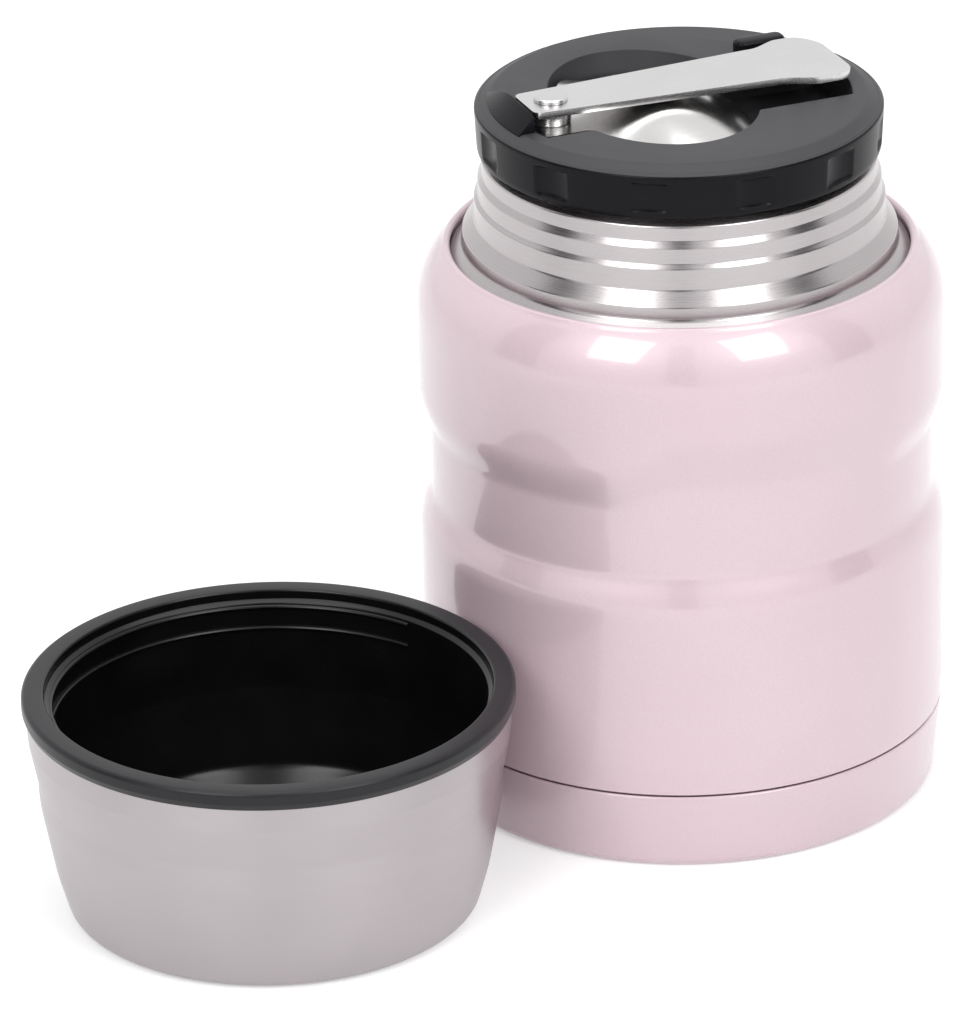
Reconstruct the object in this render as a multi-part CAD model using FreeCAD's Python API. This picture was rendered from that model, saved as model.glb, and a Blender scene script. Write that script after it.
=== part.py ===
import FreeCAD
import Part
import math
import os

from FreeCAD import Vector

# Insulated food jar: a double-walled steel jar, its screw stopper with a folding spoon
# laid in it, and the cup that covers both, taken off and stood beside the jar.
# Millimetres, +Z up. The origin is on the jar's axis, in the plane that the jar stands on.

# Driving sizes; every size below that belongs to one of them is stated from it
BODY_RADIUS = 47.05
LIP_HEIGHT = 127.0
CUP_HEIGHT = 41.0
SHEET = 0.6

# Clearances
PRESSED = 0.05
RUNNING = 0.06
FREE = 0.3

# Foot and the seam above it
SEAM_HEIGHT = 14.4
SEAM_RADIUS = BODY_RADIUS - 0.2
SEAM_GAP = 0.45
SHELL_START = 20.0
FOOT_RADIUS = SEAM_RADIUS - 3.25
FOOT_CORNER = 1.9
FOOT_RECESS = 1.6
FOOT_RING_WIDTH = 8.0

# Waist between two ledges
WAIST_RADIUS = BODY_RADIUS - 2.05
UPPER_LEDGE = LIP_HEIGHT - 57.6
UPPER_LEDGE_RISE = 5.6
LOWER_LEDGE = UPPER_LEDGE - 18.2
LOWER_LEDGE_RISE = 4.8
CROWN_SOFTNESS = 14.0
HOLLOW_SOFTNESS = 6.0

# The waist's upper ledge arches up over a plain panel in front
PANEL_AZIMUTH = -70.0
PANEL_HALF_ANGLE = 20.0
PANEL_RAMP_ANGLE = 17.0
PANEL_RISE = 5.5
PANEL_SOFTENING = 3.0
PANEL_STATIONS = 20

# Shoulder, folded down inside its lip
SHOULDER_TOP = LIP_HEIGHT - 24.6
SHOULDER_START = SHOULDER_TOP - 11.4
SHOULDER_MIDDLE_RADIUS = BODY_RADIUS - 1.3
SHOULDER_MIDDLE = SHOULDER_TOP - 5.2
SHOULDER_LIP_RADIUS = BODY_RADIUS - 5.25
LIP_EDGE = 0.5
LIP_EDGE_DROP = 0.35
LIP_FOLD_DROP = 0.9

# Neck of bare steel: a flare, two beads that the cup grips, a cone and the thread's band
NECK_SHEET = 0.5
NECK_FOOT_RADIUS = SHOULDER_LIP_RADIUS - 0.8
NECK_FOOT = SHOULDER_TOP - 1.55
NECK_OVERLAP = 3.6
LOWER_BEAD_RADIUS = NECK_FOOT_RADIUS - 2.0
FLARE_RADIUS = LOWER_BEAD_RADIUS - 0.3
FLARE_TOP = NECK_FOOT + 1.65
LOWER_BEAD_LOW = NECK_FOOT + 2.75
LOWER_BEAD_HIGH = NECK_FOOT + 3.85
GROOVE_RADIUS = LOWER_BEAD_RADIUS - 1.4
GROOVE_LOW = NECK_FOOT + 6.25
GROOVE_HIGH = NECK_FOOT + 8.05
UPPER_BEAD_RADIUS = LOWER_BEAD_RADIUS - 0.9
UPPER_BEAD = NECK_FOOT + 9.35
CONE_RADIUS = LOWER_BEAD_RADIUS - 2.3
CONE_FOOT = NECK_FOOT + 12.25
NECK_TOP_RADIUS = CONE_RADIUS - 1.3
NECK_TOP = LIP_HEIGHT - 8.4
THREAD_BAND_RADIUS = NECK_TOP_RADIUS - 2.4
THREAD_BAND_FOOT = NECK_TOP + 1.0

# Food vessel and the parts in the vacuum
MOUTH_RADIUS = THREAD_BAND_RADIUS - 1.1
VESSEL_RADIUS = BODY_RADIUS - 7.35
VESSEL_SHEET = 0.5
VESSEL_FLOOR = 9.5
VESSEL_CORNER = 6.0
VESSEL_SHOULDER = LIP_HEIGHT - 34.5
VESSEL_SHOULDER_RISE = 9.0
VESSEL_SHOULDER_CURVE = 9.0
VESSEL_NECK_CURVE = 4.0
CLOSING_DISC = 4.4
CLOSING_FLANGE = 3.5
DISH_RISE = 0.9
DISH_RADIUS = 6.0
FOIL = 0.2
FOIL_MARGIN = 8.0
GETTER_RADIUS = 5.0
GETTER_HEIGHT = 2.4
GETTER_PLACE = VESSEL_RADIUS - 17.7
GETTER_EDGE = 0.5
PUMP_HOLE_RADIUS = 1.5
BEAD_OVERHANG = 1.2

# Stopper
DECK = LIP_HEIGHT + 2.7
DECK_SHEET = 1.3
DECK_EDGE_DROP = 1.5
SKIRT_BORE = THREAD_BAND_RADIUS + 1.5
SKIRT_FOOT = DECK - 9.4
SKIRT_FOOT_RADIUS = SKIRT_BORE + 1.3
DECK_EDGE_RADIUS = SKIRT_BORE + 1.7
DECK_FLAT_RADIUS = DECK_EDGE_RADIUS - 2.9
SCALLOPS = 12
SCALLOP_START = -2.1
SCALLOP_WIDTH = 7.5
SCALLOP_DEPTH = 0.7
SCALLOP_LOW = SKIRT_FOOT + 1.1
SCALLOP_HIGH = DECK - 2.7
SPIGOT_RADIUS = MOUTH_RADIUS - 0.5
SPIGOT_WALL = 1.4
SPIGOT_FOOT = DECK - 10.7
PLUG_FOOT = SPIGOT_FOOT - 7.5
PLUG_WALL = 1.4
PLUG_TAPER = 0.6
PLUG_CORNER = 2.5
COLLAR_WALL = 1.2
COLLAR_REACH = 2.0
SEAL_HEIGHT = 0.8
SEAL_RADIUS = SPIGOT_RADIUS + 2.2

# Recess in the deck for the spoon, in the stopper's own directions:
# u runs along the spoon from its pivot to its thumb tab, v runs across it
SPOON_AZIMUTH = 23.6
RECESS_REACH = SPIGOT_RADIUS - 0.8
RECESS_CENTRE_U = -4.5
RECESS_CENTRE_V = 0.9
RECESS_HALF_LENGTH = RECESS_REACH - 13.0
RECESS_HALF_WIDTH = RECESS_REACH - 6.8
RECESS_FLOOR = DECK - 6.4
NECK_SLOT_HALF_WIDTH = 9.6
NECK_SLOT_FLOOR = DECK - 3.6
SLOT_CORNER = 1.5
POCKET_START_U = 8.0
POCKET_NEAR_V = -13.0
POCKET_FAR_V = 8.0
POCKET_CORNER = 3.0
TUB_WALL = 1.2

# Raised catches on the deck
BLOCK_FACE_U = 0.3 - RECESS_REACH
BLOCK_INSIDE = RECESS_REACH - 6.6
BLOCK_TOP = DECK + 3.3
BLOCK_CROWN_RADIUS = RECESS_REACH
BLOCK_NEAR_V = -6.5
BLOCK_FAR_V = 20.0
NIB_START_U = 16.5
NIB_END_U = NIB_START_U + 9.5
NIB_NEAR_V = 11.0
NIB_WIDTH = 3.6
NIB_TOP = DECK + 2.8
NIB_CORNER = 1.2

# Folding spoon
SPOON_SHEET = 1.2
BOWL_GAP = 1.2
BOWL_CROWN = DECK + 1.3
BOWL_END_DROP = 7.04
BOWL_SIDE_DROP = 6.44
BOWL_LENGTH_CURVE = RECESS_HALF_LENGTH ** 2 / BOWL_END_DROP
BOWL_WIDTH_CURVE = RECESS_HALF_WIDTH ** 2 / BOWL_SIDE_DROP
BOWL_BLEND_END_U = RECESS_CENTRE_U - 5.5
NECK_FLAT_END_U = BOWL_BLEND_END_U - 9.5
SKIN_ROWS = 22
SKIN_COLUMNS = 12
SPOON_NECK_TOP = DECK - 1.0
SPOON_NECK_HALF_WIDTH = 7.0
SPOON_NECK_ROOT_HALF_WIDTH = 9.0
SPOON_NECK_OVERHANG = 5.4
SPOON_NECK_CORNER = 2.2
PIVOT_U = 6.1 - RECESS_REACH
PIVOT_OVERHANG = 5.0
HANDLE_TOP = DECK + 2.9
HANDLE_PIVOT_HALF_WIDTH = 5.0
HANDLE_END_U = RECESS_REACH - 0.1
HANDLE_MIDDLE_U = HANDLE_END_U - 13.5
HANDLE_MIDDLE_HALF_WIDTH = 7.7
TAB_START_U = HANDLE_END_U - 9.5
TAB_LENGTH = 3.0
TAB_HALF_WIDTH = 10.0
HANDLE_EDGE = 0.3
RIVET_RADIUS = 1.5
RIVET_HEAD_RADIUS = 3.0
RIVET_FOOT_RADIUS = 2.4
RIVET_HEAD_HEIGHT = 0.8
WASHER_RADIUS = 3.6

# Cup, taken off and stood beside the jar; its bore goes over the neck's beads
CUP_AZIMUTH = -142.9
CUP_DISTANCE = 2 * BODY_RADIUS - 3.1
CUP_STAND = 0.25
CUP_RIM_BORE = LOWER_BEAD_RADIUS + FREE
CUP_RIM_RADIUS = CUP_RIM_BORE + 4.0
CUP_RIM_THICKNESS = 3.5
CUP_NECK_BORE = CUP_RIM_BORE - 0.9
CUP_NECK_FOOT = CUP_HEIGHT - 14.0
CUP_SHEET = 0.6
CUP_SHELL_TOP_RADIUS = CUP_RIM_RADIUS - 0.9
CUP_FLARE_TOP = CUP_HEIGHT - 8.0
CUP_FLARE_FOOT = CUP_HEIGHT - 16.0
CUP_BELT_RADIUS = CUP_SHELL_TOP_RADIUS - 1.6
CUP_BELT = CUP_HEIGHT - 20.0
CUP_SWELL_RADIUS = CUP_BELT_RADIUS - 2.5
CUP_SWELL = 7.5
CUP_SWELL_CURVE = 30.0
CUP_FOOT_RADIUS = CUP_BELT_RADIUS - 6.2
CUP_FOOT_CORNER = 2.2
CUP_DRAFT = 0.1
LINER_WALL = 1.4
LINER_FLOOR = 3.2

# Where a spoon sheet lies is the distance of its underside from its top
HANDLE_UNDERSIDE = HANDLE_TOP - SPOON_SHEET
SPOON_NECK_UNDERSIDE = SPOON_NECK_TOP - SPOON_SHEET


def on_profile(radius, height):
    """A point of a profile, in the half plane that turns about Z."""
    return Vector(radius, 0, height)


def on_plan(across, along):
    """A point of a plan view."""
    return Vector(across, along, 0)


def path(place, *steps):
    """A wire through steps: (a, b) is a sharp corner, (a, b, r) a corner rounded to r,
    and ((a, b), (c, d)) an arc through the first point to the second."""
    here = place(*steps[0])
    edges = []
    for index, step in enumerate(steps[1:], 1):
        if isinstance(step[0], tuple):
            middle, end = place(*step[0]), place(*step[1])
            edges.append(Part.Arc(here, middle, end).toShape())
        elif len(step) == 3:
            corner, after = place(*step[:2]), place(*steps[index + 1][:2])
            inward = (corner - here).normalize()
            outward = (after - corner).normalize()
            half_turn = inward.getAngle(outward) / 2
            reach = step[2] * math.tan(half_turn)
            start, end = corner - inward * reach, corner + outward * reach
            to_centre = (outward - inward).normalize()
            middle = corner + to_centre * (step[2] / math.cos(half_turn) - step[2])
            edges.append(Part.LineSegment(here, start).toShape())
            edges.append(Part.Arc(start, middle, end).toShape())
        else:
            end = place(*step)
            edges.append(Part.LineSegment(here, end).toShape())
        here = end
    return Part.Wire(edges)


def closed_face(place, *steps):
    """The face inside a path that ends where it starts."""
    return Part.Face(path(place, *steps, steps[0][:2]))


def sheet_section(wire, wall):
    """The section of sheet metal whose outer skin is the wire; the wall lies to its left."""
    return wire.makeOffset2D(wall, 2, True, True)


def turned(face, angle=360):
    """The solid that a profile sweeps about Z."""
    return face.revolve(Vector(0, 0, 0), Vector(0, 0, 1), angle)


def ring(inner, outer, low, high):
    """A plain ring about Z, or a disc where the inner radius is nought."""
    body = Part.makeCylinder(outer, high - low, Vector(0, 0, low))
    if inner > 0:
        body = body.cut(Part.makeCylinder(inner, high - low, Vector(0, 0, low)))
    return body


def about_z(shape, angle):
    """A copy of the shape turned about the jar's axis."""
    copy = shape.copy()
    copy.rotate(Vector(0, 0, 0), Vector(0, 0, 1), angle)
    return copy


# Jar

def base_cap():
    """The painted cap over the foot: a shallow cup that ends at the seam."""
    recess_radius = FOOT_RADIUS - FOOT_RING_WIDTH
    skin = path(
        on_profile,
        (0, FOOT_RECESS),
        (recess_radius - FOOT_RECESS, FOOT_RECESS, 1.0),
        (recess_radius, 0, 1.0),
        (FOOT_RADIUS + FOOT_CORNER, 0, FOOT_CORNER),
        (SEAM_RADIUS, SEAM_HEIGHT),
    )
    return turned(sheet_section(skin, SHEET))


def cap_bore(height):
    """The base cap's inner radius at a height."""
    foot = FOOT_RADIUS + FOOT_CORNER
    share = height / SEAM_HEIGHT
    return foot + (SEAM_RADIUS - foot) * share - SHEET


def lower_skin():
    """The outer shell's skin from its hidden foot, over the joggle, to the waist."""
    skirt = cap_bore(CLOSING_DISC - 1) - 2 * PRESSED
    joggle = SEAM_HEIGHT + SEAM_GAP
    return (
        (skirt, CLOSING_DISC - 1),
        (skirt, joggle - 0.3),
        (SEAM_RADIUS, joggle),
        (BODY_RADIUS, SHELL_START),
        (BODY_RADIUS, LOWER_LEDGE, CROWN_SOFTNESS),
        (WAIST_RADIUS, LOWER_LEDGE + LOWER_LEDGE_RISE, HOLLOW_SOFTNESS),
        (WAIST_RADIUS, waist_middle()),
    )


def waist_middle():
    """Height of the middle of the waist, where no ledge bends."""
    return (LOWER_LEDGE + LOWER_LEDGE_RISE + UPPER_LEDGE) / 2


def ledge_skin(rise, softening):
    """The skin over the upper ledge, raised and softened as over the panel."""
    ledge = UPPER_LEDGE + rise
    run = UPPER_LEDGE_RISE + softening
    return (
        (WAIST_RADIUS, ledge - softening / 2, HOLLOW_SOFTNESS + softening),
        (BODY_RADIUS, ledge - softening / 2 + run, CROWN_SOFTNESS),
    )


def shoulder_skin():
    """The skin over the shoulder, folded down inside its lip."""
    lip_middle = (SHOULDER_LIP_RADIUS + NECK_FOOT_RADIUS) / 2
    return (
        (BODY_RADIUS, SHOULDER_START),
        ((SHOULDER_MIDDLE_RADIUS, SHOULDER_MIDDLE), (SHOULDER_LIP_RADIUS + LIP_EDGE, SHOULDER_TOP - LIP_EDGE_DROP)),
        ((lip_middle, SHOULDER_TOP), (NECK_FOOT_RADIUS, SHOULDER_TOP - LIP_FOLD_DROP)),
        (NECK_FOOT_RADIUS, NECK_FOOT - 2.2),
    )


def panel_share(azimuth):
    """How far the ledge has risen at an azimuth: 1 over the panel, 0 away from it."""
    away = abs(azimuth - PANEL_AZIMUTH) - PANEL_HALF_ANGLE
    share = min(max(1 - away / PANEL_RAMP_ANGLE, 0), 1)
    return share * share * (3 - 2 * share)


def shell_section(azimuth):
    """The wall's section at an azimuth, from the hidden foot to the lip, as a closed wire."""
    share = panel_share(azimuth)
    ledge = ledge_skin(PANEL_RISE * share, PANEL_SOFTENING * share)
    skin = path(on_profile, *lower_skin(), *ledge, *shoulder_skin())
    return about_z(sheet_section(skin, SHEET).OuterWire, azimuth)


def outer_shell():
    """The painted outer shell, with the waist whose upper ledge arches over the panel."""
    reach = PANEL_HALF_ANGLE + PANEL_RAMP_ANGLE
    start, end = PANEL_AZIMUTH - reach, PANEL_AZIMUTH + reach
    around = turned(Part.Face(shell_section(end)), 360 - 2 * reach)
    step = 2 * reach / PANEL_STATIONS
    sections = [shell_section(start + step * count) for count in range(PANEL_STATIONS + 1)]
    return around.fuse(Part.makeLoft(sections, True, False))


def outer_bottom():
    """The steel disc that closes the vacuum, flanged into the shell's foot."""
    rim = cap_bore(CLOSING_DISC - 1) - 2 * PRESSED - SHEET - PRESSED
    skin = path(
        on_profile,
        (PUMP_HOLE_RADIUS, CLOSING_DISC + DISH_RISE),
        (DISH_RADIUS, CLOSING_DISC + DISH_RISE, 1.0),
        (DISH_RADIUS + 2, CLOSING_DISC, 1.0),
        (rim, CLOSING_DISC, 1.6),
        (rim, CLOSING_DISC + CLOSING_FLANGE),
    )
    return turned(sheet_section(skin, SHEET))


def vacuum_seal_bead():
    """The bead of solder glass that closes the pump hole."""
    floor = CLOSING_DISC + DISH_RISE
    plug = ring(0, PUMP_HOLE_RADIUS - PRESSED / 2, floor - 0.2, floor + SHEET)
    head = Part.makeSphere(PUMP_HOLE_RADIUS + BEAD_OVERHANG, Vector(0, 0, floor - 1.9 + SHEET), Vector(0, 0, 1), 0, 90)
    head = head.common(ring(0, PUMP_HOLE_RADIUS + BEAD_OVERHANG, floor + SHEET + PRESSED / 2, floor + 3))
    stem = ring(0, PUMP_HOLE_RADIUS - PRESSED / 2, floor, floor + SHEET + 2 * PRESSED)
    return plug.fuse([stem, head])


def inner_vessel():
    """The bright steel food vessel, its mouth rolled out over the neck's top edge."""
    neck_outside = MOUTH_RADIUS + VESSEL_SHEET
    skin = path(
        on_profile,
        (0, VESSEL_FLOOR),
        (VESSEL_RADIUS, VESSEL_FLOOR, VESSEL_CORNER),
        (VESSEL_RADIUS, VESSEL_SHOULDER, VESSEL_SHOULDER_CURVE),
        (neck_outside, VESSEL_SHOULDER + VESSEL_SHOULDER_RISE, VESSEL_NECK_CURVE),
        (neck_outside, LIP_HEIGHT - VESSEL_SHEET),
        (THREAD_BAND_RADIUS, LIP_HEIGHT - VESSEL_SHEET),
    )
    return turned(sheet_section(skin, VESSEL_SHEET))


def heat_shield_foil():
    """The reflecting foil wrapped round the vessel's wall."""
    inner = VESSEL_RADIUS + PRESSED
    return ring(inner, inner + FOIL, VESSEL_FLOOR + FOIL_MARGIN, VESSEL_SHOULDER - FOIL_MARGIN)


def getter_pill():
    """The getter that keeps the vacuum, in its dish under the vessel's floor."""
    top = VESSEL_FLOOR - PRESSED
    pill = ring(0, GETTER_RADIUS, top - GETTER_HEIGHT, top)
    pill = pill.makeFillet(GETTER_EDGE, [edge for edge in pill.Edges if edge.Closed])
    pill.translate(Vector(GETTER_PLACE, 0, 0))
    return pill


def neck_collar():
    """The bare steel neck: two beads that the cup grips, and the band under the stopper."""
    skin = path(
        on_profile,
        (NECK_FOOT_RADIUS - PRESSED, NECK_FOOT - NECK_OVERLAP),
        (NECK_FOOT_RADIUS - PRESSED, NECK_FOOT, 0.5),
        (FLARE_RADIUS, FLARE_TOP, 1.0),
        (FLARE_RADIUS, LOWER_BEAD_LOW, 0.4),
        (LOWER_BEAD_RADIUS, LOWER_BEAD_HIGH, 0.5),
        (GROOVE_RADIUS, GROOVE_LOW, 0.8),
        (GROOVE_RADIUS, GROOVE_HIGH, 0.4),
        (UPPER_BEAD_RADIUS, UPPER_BEAD, 0.7),
        (CONE_RADIUS, CONE_FOOT, 1.2),
        (NECK_TOP_RADIUS, NECK_TOP, 0.8),
        (THREAD_BAND_RADIUS, THREAD_BAND_FOOT, 0.8),
        (THREAD_BAND_RADIUS, LIP_HEIGHT - VESSEL_SHEET - PRESSED),
    )
    return turned(sheet_section(skin, NECK_SHEET))


# Stopper

def recess_plan(grow):
    """Plan of the hollow in the deck, grown outwards by an amount."""
    bowl = Part.makeCylinder(1, 1)
    matrix = FreeCAD.Matrix()
    matrix.scale(RECESS_HALF_LENGTH + grow, RECESS_HALF_WIDTH + grow, 1)
    bowl = bowl.transformGeometry(matrix)
    bowl.translate(Vector(RECESS_CENTRE_U, RECESS_CENTRE_V, 0))
    return bowl


def rounded_slab(u_low, u_high, v_low, v_high, radius, low, high):
    """An upright slab with rounded corners, in the stopper's directions."""
    slab = Part.makeBox(u_high - u_low, v_high - v_low, high - low, Vector(u_low, v_low, low))
    upright = [edge for edge in slab.Edges if abs(edge.tangentAt(edge.FirstParameter).z) > 0.9]
    return slab.makeFillet(radius, upright)


def recess(grow, floor_drop, top):
    """The hollow for the bowl, the spoon's neck and a finger; grown, it is the tub round it."""
    floor = RECESS_FLOOR - floor_drop
    slot_floor = NECK_SLOT_FLOOR - floor_drop
    bowl = recess_plan(grow)
    matrix = FreeCAD.Matrix()
    matrix.scale(1, 1, top - floor)
    bowl = bowl.transformGeometry(matrix)
    bowl.translate(Vector(0, 0, floor))
    reach = RECESS_REACH + 2
    half = NECK_SLOT_HALF_WIDTH + grow
    slot = rounded_slab(-reach, RECESS_CENTRE_U, -half, half, SLOT_CORNER, slot_floor, top)
    pocket = rounded_slab(
        POCKET_START_U - grow, reach, POCKET_NEAR_V - grow, POCKET_FAR_V + grow, POCKET_CORNER, floor, top
    )
    bound = ring(0, RECESS_REACH, floor - 1, top + 1)
    return bowl.fuse([slot.common(bound), pocket.common(bound)])


def cap_profile():
    """Deck, skirt and spigot of the stopper's cap, turned about the axis."""
    edge = DECK - DECK_EDGE_DROP
    ceiling = DECK - DECK_SHEET
    spigot_bore = SPIGOT_RADIUS - SPIGOT_WALL
    return closed_face(
        on_profile,
        (0, ceiling),
        (spigot_bore, ceiling),
        (spigot_bore, SPIGOT_FOOT),
        (SPIGOT_RADIUS, SPIGOT_FOOT),
        (SPIGOT_RADIUS, ceiling),
        (SKIRT_BORE, ceiling),
        (SKIRT_BORE, SKIRT_FOOT),
        (SKIRT_FOOT_RADIUS, SKIRT_FOOT, 0.4),
        (DECK_EDGE_RADIUS, edge, 0.6),
        (DECK_FLAT_RADIUS, DECK, 2.0),
        (0, DECK),
    )


def scallop_cutters():
    """Round cutters for the finger grips round the skirt."""
    cut_radius = SCALLOP_WIDTH ** 2 / (8 * SCALLOP_DEPTH)
    outside = (SKIRT_FOOT_RADIUS + DECK_EDGE_RADIUS) / 2
    centre = outside - SCALLOP_DEPTH + cut_radius
    cutters = []
    for count in range(SCALLOPS):
        cutter = ring(0, cut_radius, SCALLOP_LOW, SCALLOP_HIGH)
        cutter.translate(Vector(centre, 0, 0))
        cutters.append(about_z(cutter, SCALLOP_START + count * 360 / SCALLOPS))
    return cutters


def catch_block():
    """The catch at the pivot's end: a ridge that falls away to the rim and to the far side."""
    wedge = turned(closed_face(
        on_profile,
        (BLOCK_INSIDE, DECK - 0.5),
        (DECK_FLAT_RADIUS + 0.6, DECK - 0.5),
        (DECK_FLAT_RADIUS + 0.6, DECK - 0.1),
        (BLOCK_CROWN_RADIUS, BLOCK_TOP, 0.8),
        (BLOCK_INSIDE, BLOCK_TOP),
    ))
    keep = Part.makeBox(10, BLOCK_FAR_V - BLOCK_NEAR_V, 8, Vector(BLOCK_FACE_U - 10, BLOCK_NEAR_V, DECK - 1))
    return wedge.common(keep)


def catch_nib():
    """The nib beside the handle's far edge."""
    nib = rounded_slab(NIB_START_U, NIB_END_U, NIB_NEAR_V, NIB_NEAR_V + NIB_WIDTH, NIB_CORNER, DECK - 0.5, NIB_TOP)
    return nib.makeFillet(0.6, [edge for edge in nib.Edges if edge.BoundBox.ZMin > NIB_TOP - 0.01])


def stopper_cap():
    """The stopper's moulded cap: deck, skirt, recess, catches and finger grips."""
    cap = turned(cap_profile())
    cap = cap.cut(scallop_cutters())
    tub = recess(TUB_WALL, TUB_WALL, DECK - DECK_SHEET / 2)
    tub = tub.common(ring(0, SPIGOT_RADIUS - SPIGOT_WALL / 2, RECESS_FLOOR - 9, DECK))
    cap = cap.fuse([tub, catch_block(), catch_nib()])
    return cap.cut(recess(0, 0, DECK + 6))


def stopper_plug():
    """The plug's lower cup, welded into the cap's spigot."""
    step = SPIGOT_RADIUS - SPIGOT_WALL - PRESSED
    skin = path(
        on_profile,
        (0, PLUG_FOOT),
        (SPIGOT_RADIUS - PLUG_TAPER, PLUG_FOOT, PLUG_CORNER),
        (SPIGOT_RADIUS, SPIGOT_FOOT - COLLAR_REACH),
        (SPIGOT_RADIUS, SPIGOT_FOOT - PRESSED),
    )
    cup = turned(sheet_section(skin, PLUG_WALL))
    bore = step - COLLAR_WALL
    collar = ring(bore, step, SPIGOT_FOOT - COLLAR_REACH, SPIGOT_FOOT + COLLAR_REACH)
    root = ring(bore, step + PLUG_WALL / 2, SPIGOT_FOOT - COLLAR_REACH, SPIGOT_FOOT - COLLAR_REACH / 2)
    return cup.fuse([collar, root])


def stopper_insulation():
    """The foam that fills the plug below the recess."""
    radius = SPIGOT_RADIUS - SPIGOT_WALL - COLLAR_WALL - 4 * PRESSED
    puck = ring(0, radius, PLUG_FOOT + PLUG_WALL + PRESSED, RECESS_FLOOR - TUB_WALL - PRESSED)
    return puck.makeFillet(1.5, [puck.Edges[2]])


def stopper_seal():
    """The sealing ring between the mouth's lip and the cap."""
    low = LIP_HEIGHT + (DECK - DECK_SHEET - LIP_HEIGHT - SEAL_HEIGHT) / 2
    return ring(SPIGOT_RADIUS + FREE, SEAL_RADIUS, low, low + SEAL_HEIGHT)


# Spoon

def smooth(share):
    """A share from 0 to 1, eased at both ends and held beyond them."""
    share = min(max(share, 0), 1)
    return share * share * (3 - 2 * share)


def crest_height(u):
    """Height of the spoon's crest line: flat along the neck, then over the bowl's dome."""
    blend = BOWL_BLEND_END_U - NECK_FLAT_END_U
    from_centre = u - RECESS_CENTRE_U
    dome = BOWL_CROWN - from_centre ** 2 / BOWL_LENGTH_CURVE
    if u >= BOWL_BLEND_END_U:
        return dome
    end_from_centre = BOWL_BLEND_END_U - RECESS_CENTRE_U
    end_height = BOWL_CROWN - end_from_centre ** 2 / BOWL_LENGTH_CURVE
    end_slope = -2 * end_from_centre / BOWL_LENGTH_CURVE
    share = min(max((u - NECK_FLAT_END_U) / blend, 0), 1)
    climb = (end_height - SPOON_NECK_TOP) * share ** 2 * (3 - 2 * share)
    return SPOON_NECK_TOP + climb + end_slope * blend * share ** 2 * (share - 1)


def spoon_skin(u, v):
    """A point of the spoon's upper skin."""
    curl = smooth((u - NECK_FLAT_END_U) / (BOWL_BLEND_END_U - NECK_FLAT_END_U + 3))
    fall = curl * (v - RECESS_CENTRE_V) ** 2 / BOWL_WIDTH_CURVE
    return Vector(u, v, crest_height(u) - fall)


def bowl_plan():
    """Upright block with the spoon's outline: the oval bowl and its short neck."""
    bowl = recess_plan(-BOWL_GAP)
    matrix = FreeCAD.Matrix()
    matrix.scale(1, 1, 20)
    bowl = bowl.transformGeometry(matrix)
    tip = PIVOT_U - SPOON_NECK_OVERHANG
    root = RECESS_CENTRE_U - 10
    neck = closed_face(
        on_plan,
        (root, -SPOON_NECK_ROOT_HALF_WIDTH - 2),
        (root, SPOON_NECK_ROOT_HALF_WIDTH + 2),
        (root - 7, SPOON_NECK_HALF_WIDTH, 6.0),
        (tip, SPOON_NECK_HALF_WIDTH, SPOON_NECK_CORNER),
        (tip, -SPOON_NECK_HALF_WIDTH, SPOON_NECK_CORNER),
        (root - 7, -SPOON_NECK_HALF_WIDTH, 6.0),
    ).extrude(Vector(0, 0, 20))
    outline = bowl.fuse(neck)
    outline.translate(Vector(0, 0, BOWL_CROWN - 18))
    return outline


def spoon_bowl():
    """The bowl, laid face down, with the neck that carries the rivet."""
    start = PIVOT_U - SPOON_NECK_OVERHANG - 1
    length = RECESS_CENTRE_U + RECESS_HALF_LENGTH - start
    low, width = RECESS_CENTRE_V - RECESS_HALF_WIDTH, 2 * RECESS_HALF_WIDTH
    rows = []
    for row in range(SKIN_ROWS + 1):
        u = start + length * row / SKIN_ROWS
        rows.append([spoon_skin(u, low + width * column / SKIN_COLUMNS) for column in range(SKIN_COLUMNS + 1)])
    skin = Part.BSplineSurface()
    skin.interpolate(rows)
    sheet = skin.toShape().extrude(Vector(0, 0, -SPOON_SHEET))
    bore = Part.makeCylinder(RIVET_RADIUS + PRESSED / 2, 20, Vector(PIVOT_U, 0, BOWL_CROWN - 12))
    return sheet.common(bowl_plan()).cut(bore)


def handle_plan():
    """Plan of the handle: a strip that widens to a thumb tab."""
    start = PIVOT_U - PIVOT_OVERHANG
    return closed_face(
        on_plan,
        (start, 0),
        (start, HANDLE_PIVOT_HALF_WIDTH, 1.4),
        (HANDLE_MIDDLE_U, HANDLE_MIDDLE_HALF_WIDTH, 6.0),
        (TAB_START_U, TAB_HALF_WIDTH - 0.6, 3.0),
        (TAB_START_U + TAB_LENGTH, TAB_HALF_WIDTH, 6.0),
        (HANDLE_END_U, TAB_HALF_WIDTH - 2.0, 4.0),
        (HANDLE_END_U, -TAB_HALF_WIDTH + 2.0, 4.0),
        (TAB_START_U + TAB_LENGTH, -TAB_HALF_WIDTH, 6.0),
        (TAB_START_U, -TAB_HALF_WIDTH + 0.6, 3.0),
        (HANDLE_MIDDLE_U, -HANDLE_MIDDLE_HALF_WIDTH, 6.0),
        (start, -HANDLE_PIVOT_HALF_WIDTH, 1.4),
    )


def spoon_handle():
    """The handle, folded over the bowl."""
    plate = handle_plan().extrude(Vector(0, 0, SPOON_SHEET))
    plate.translate(Vector(0, 0, HANDLE_UNDERSIDE))
    top_edges = [edge for edge in plate.Edges if edge.BoundBox.ZMin > HANDLE_TOP - 0.01]
    plate = plate.makeFillet(HANDLE_EDGE, top_edges)
    bore = Part.makeCylinder(RIVET_RADIUS + RUNNING, 4, Vector(PIVOT_U, 0, HANDLE_UNDERSIDE - 1))
    return plate.cut(bore)


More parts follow.
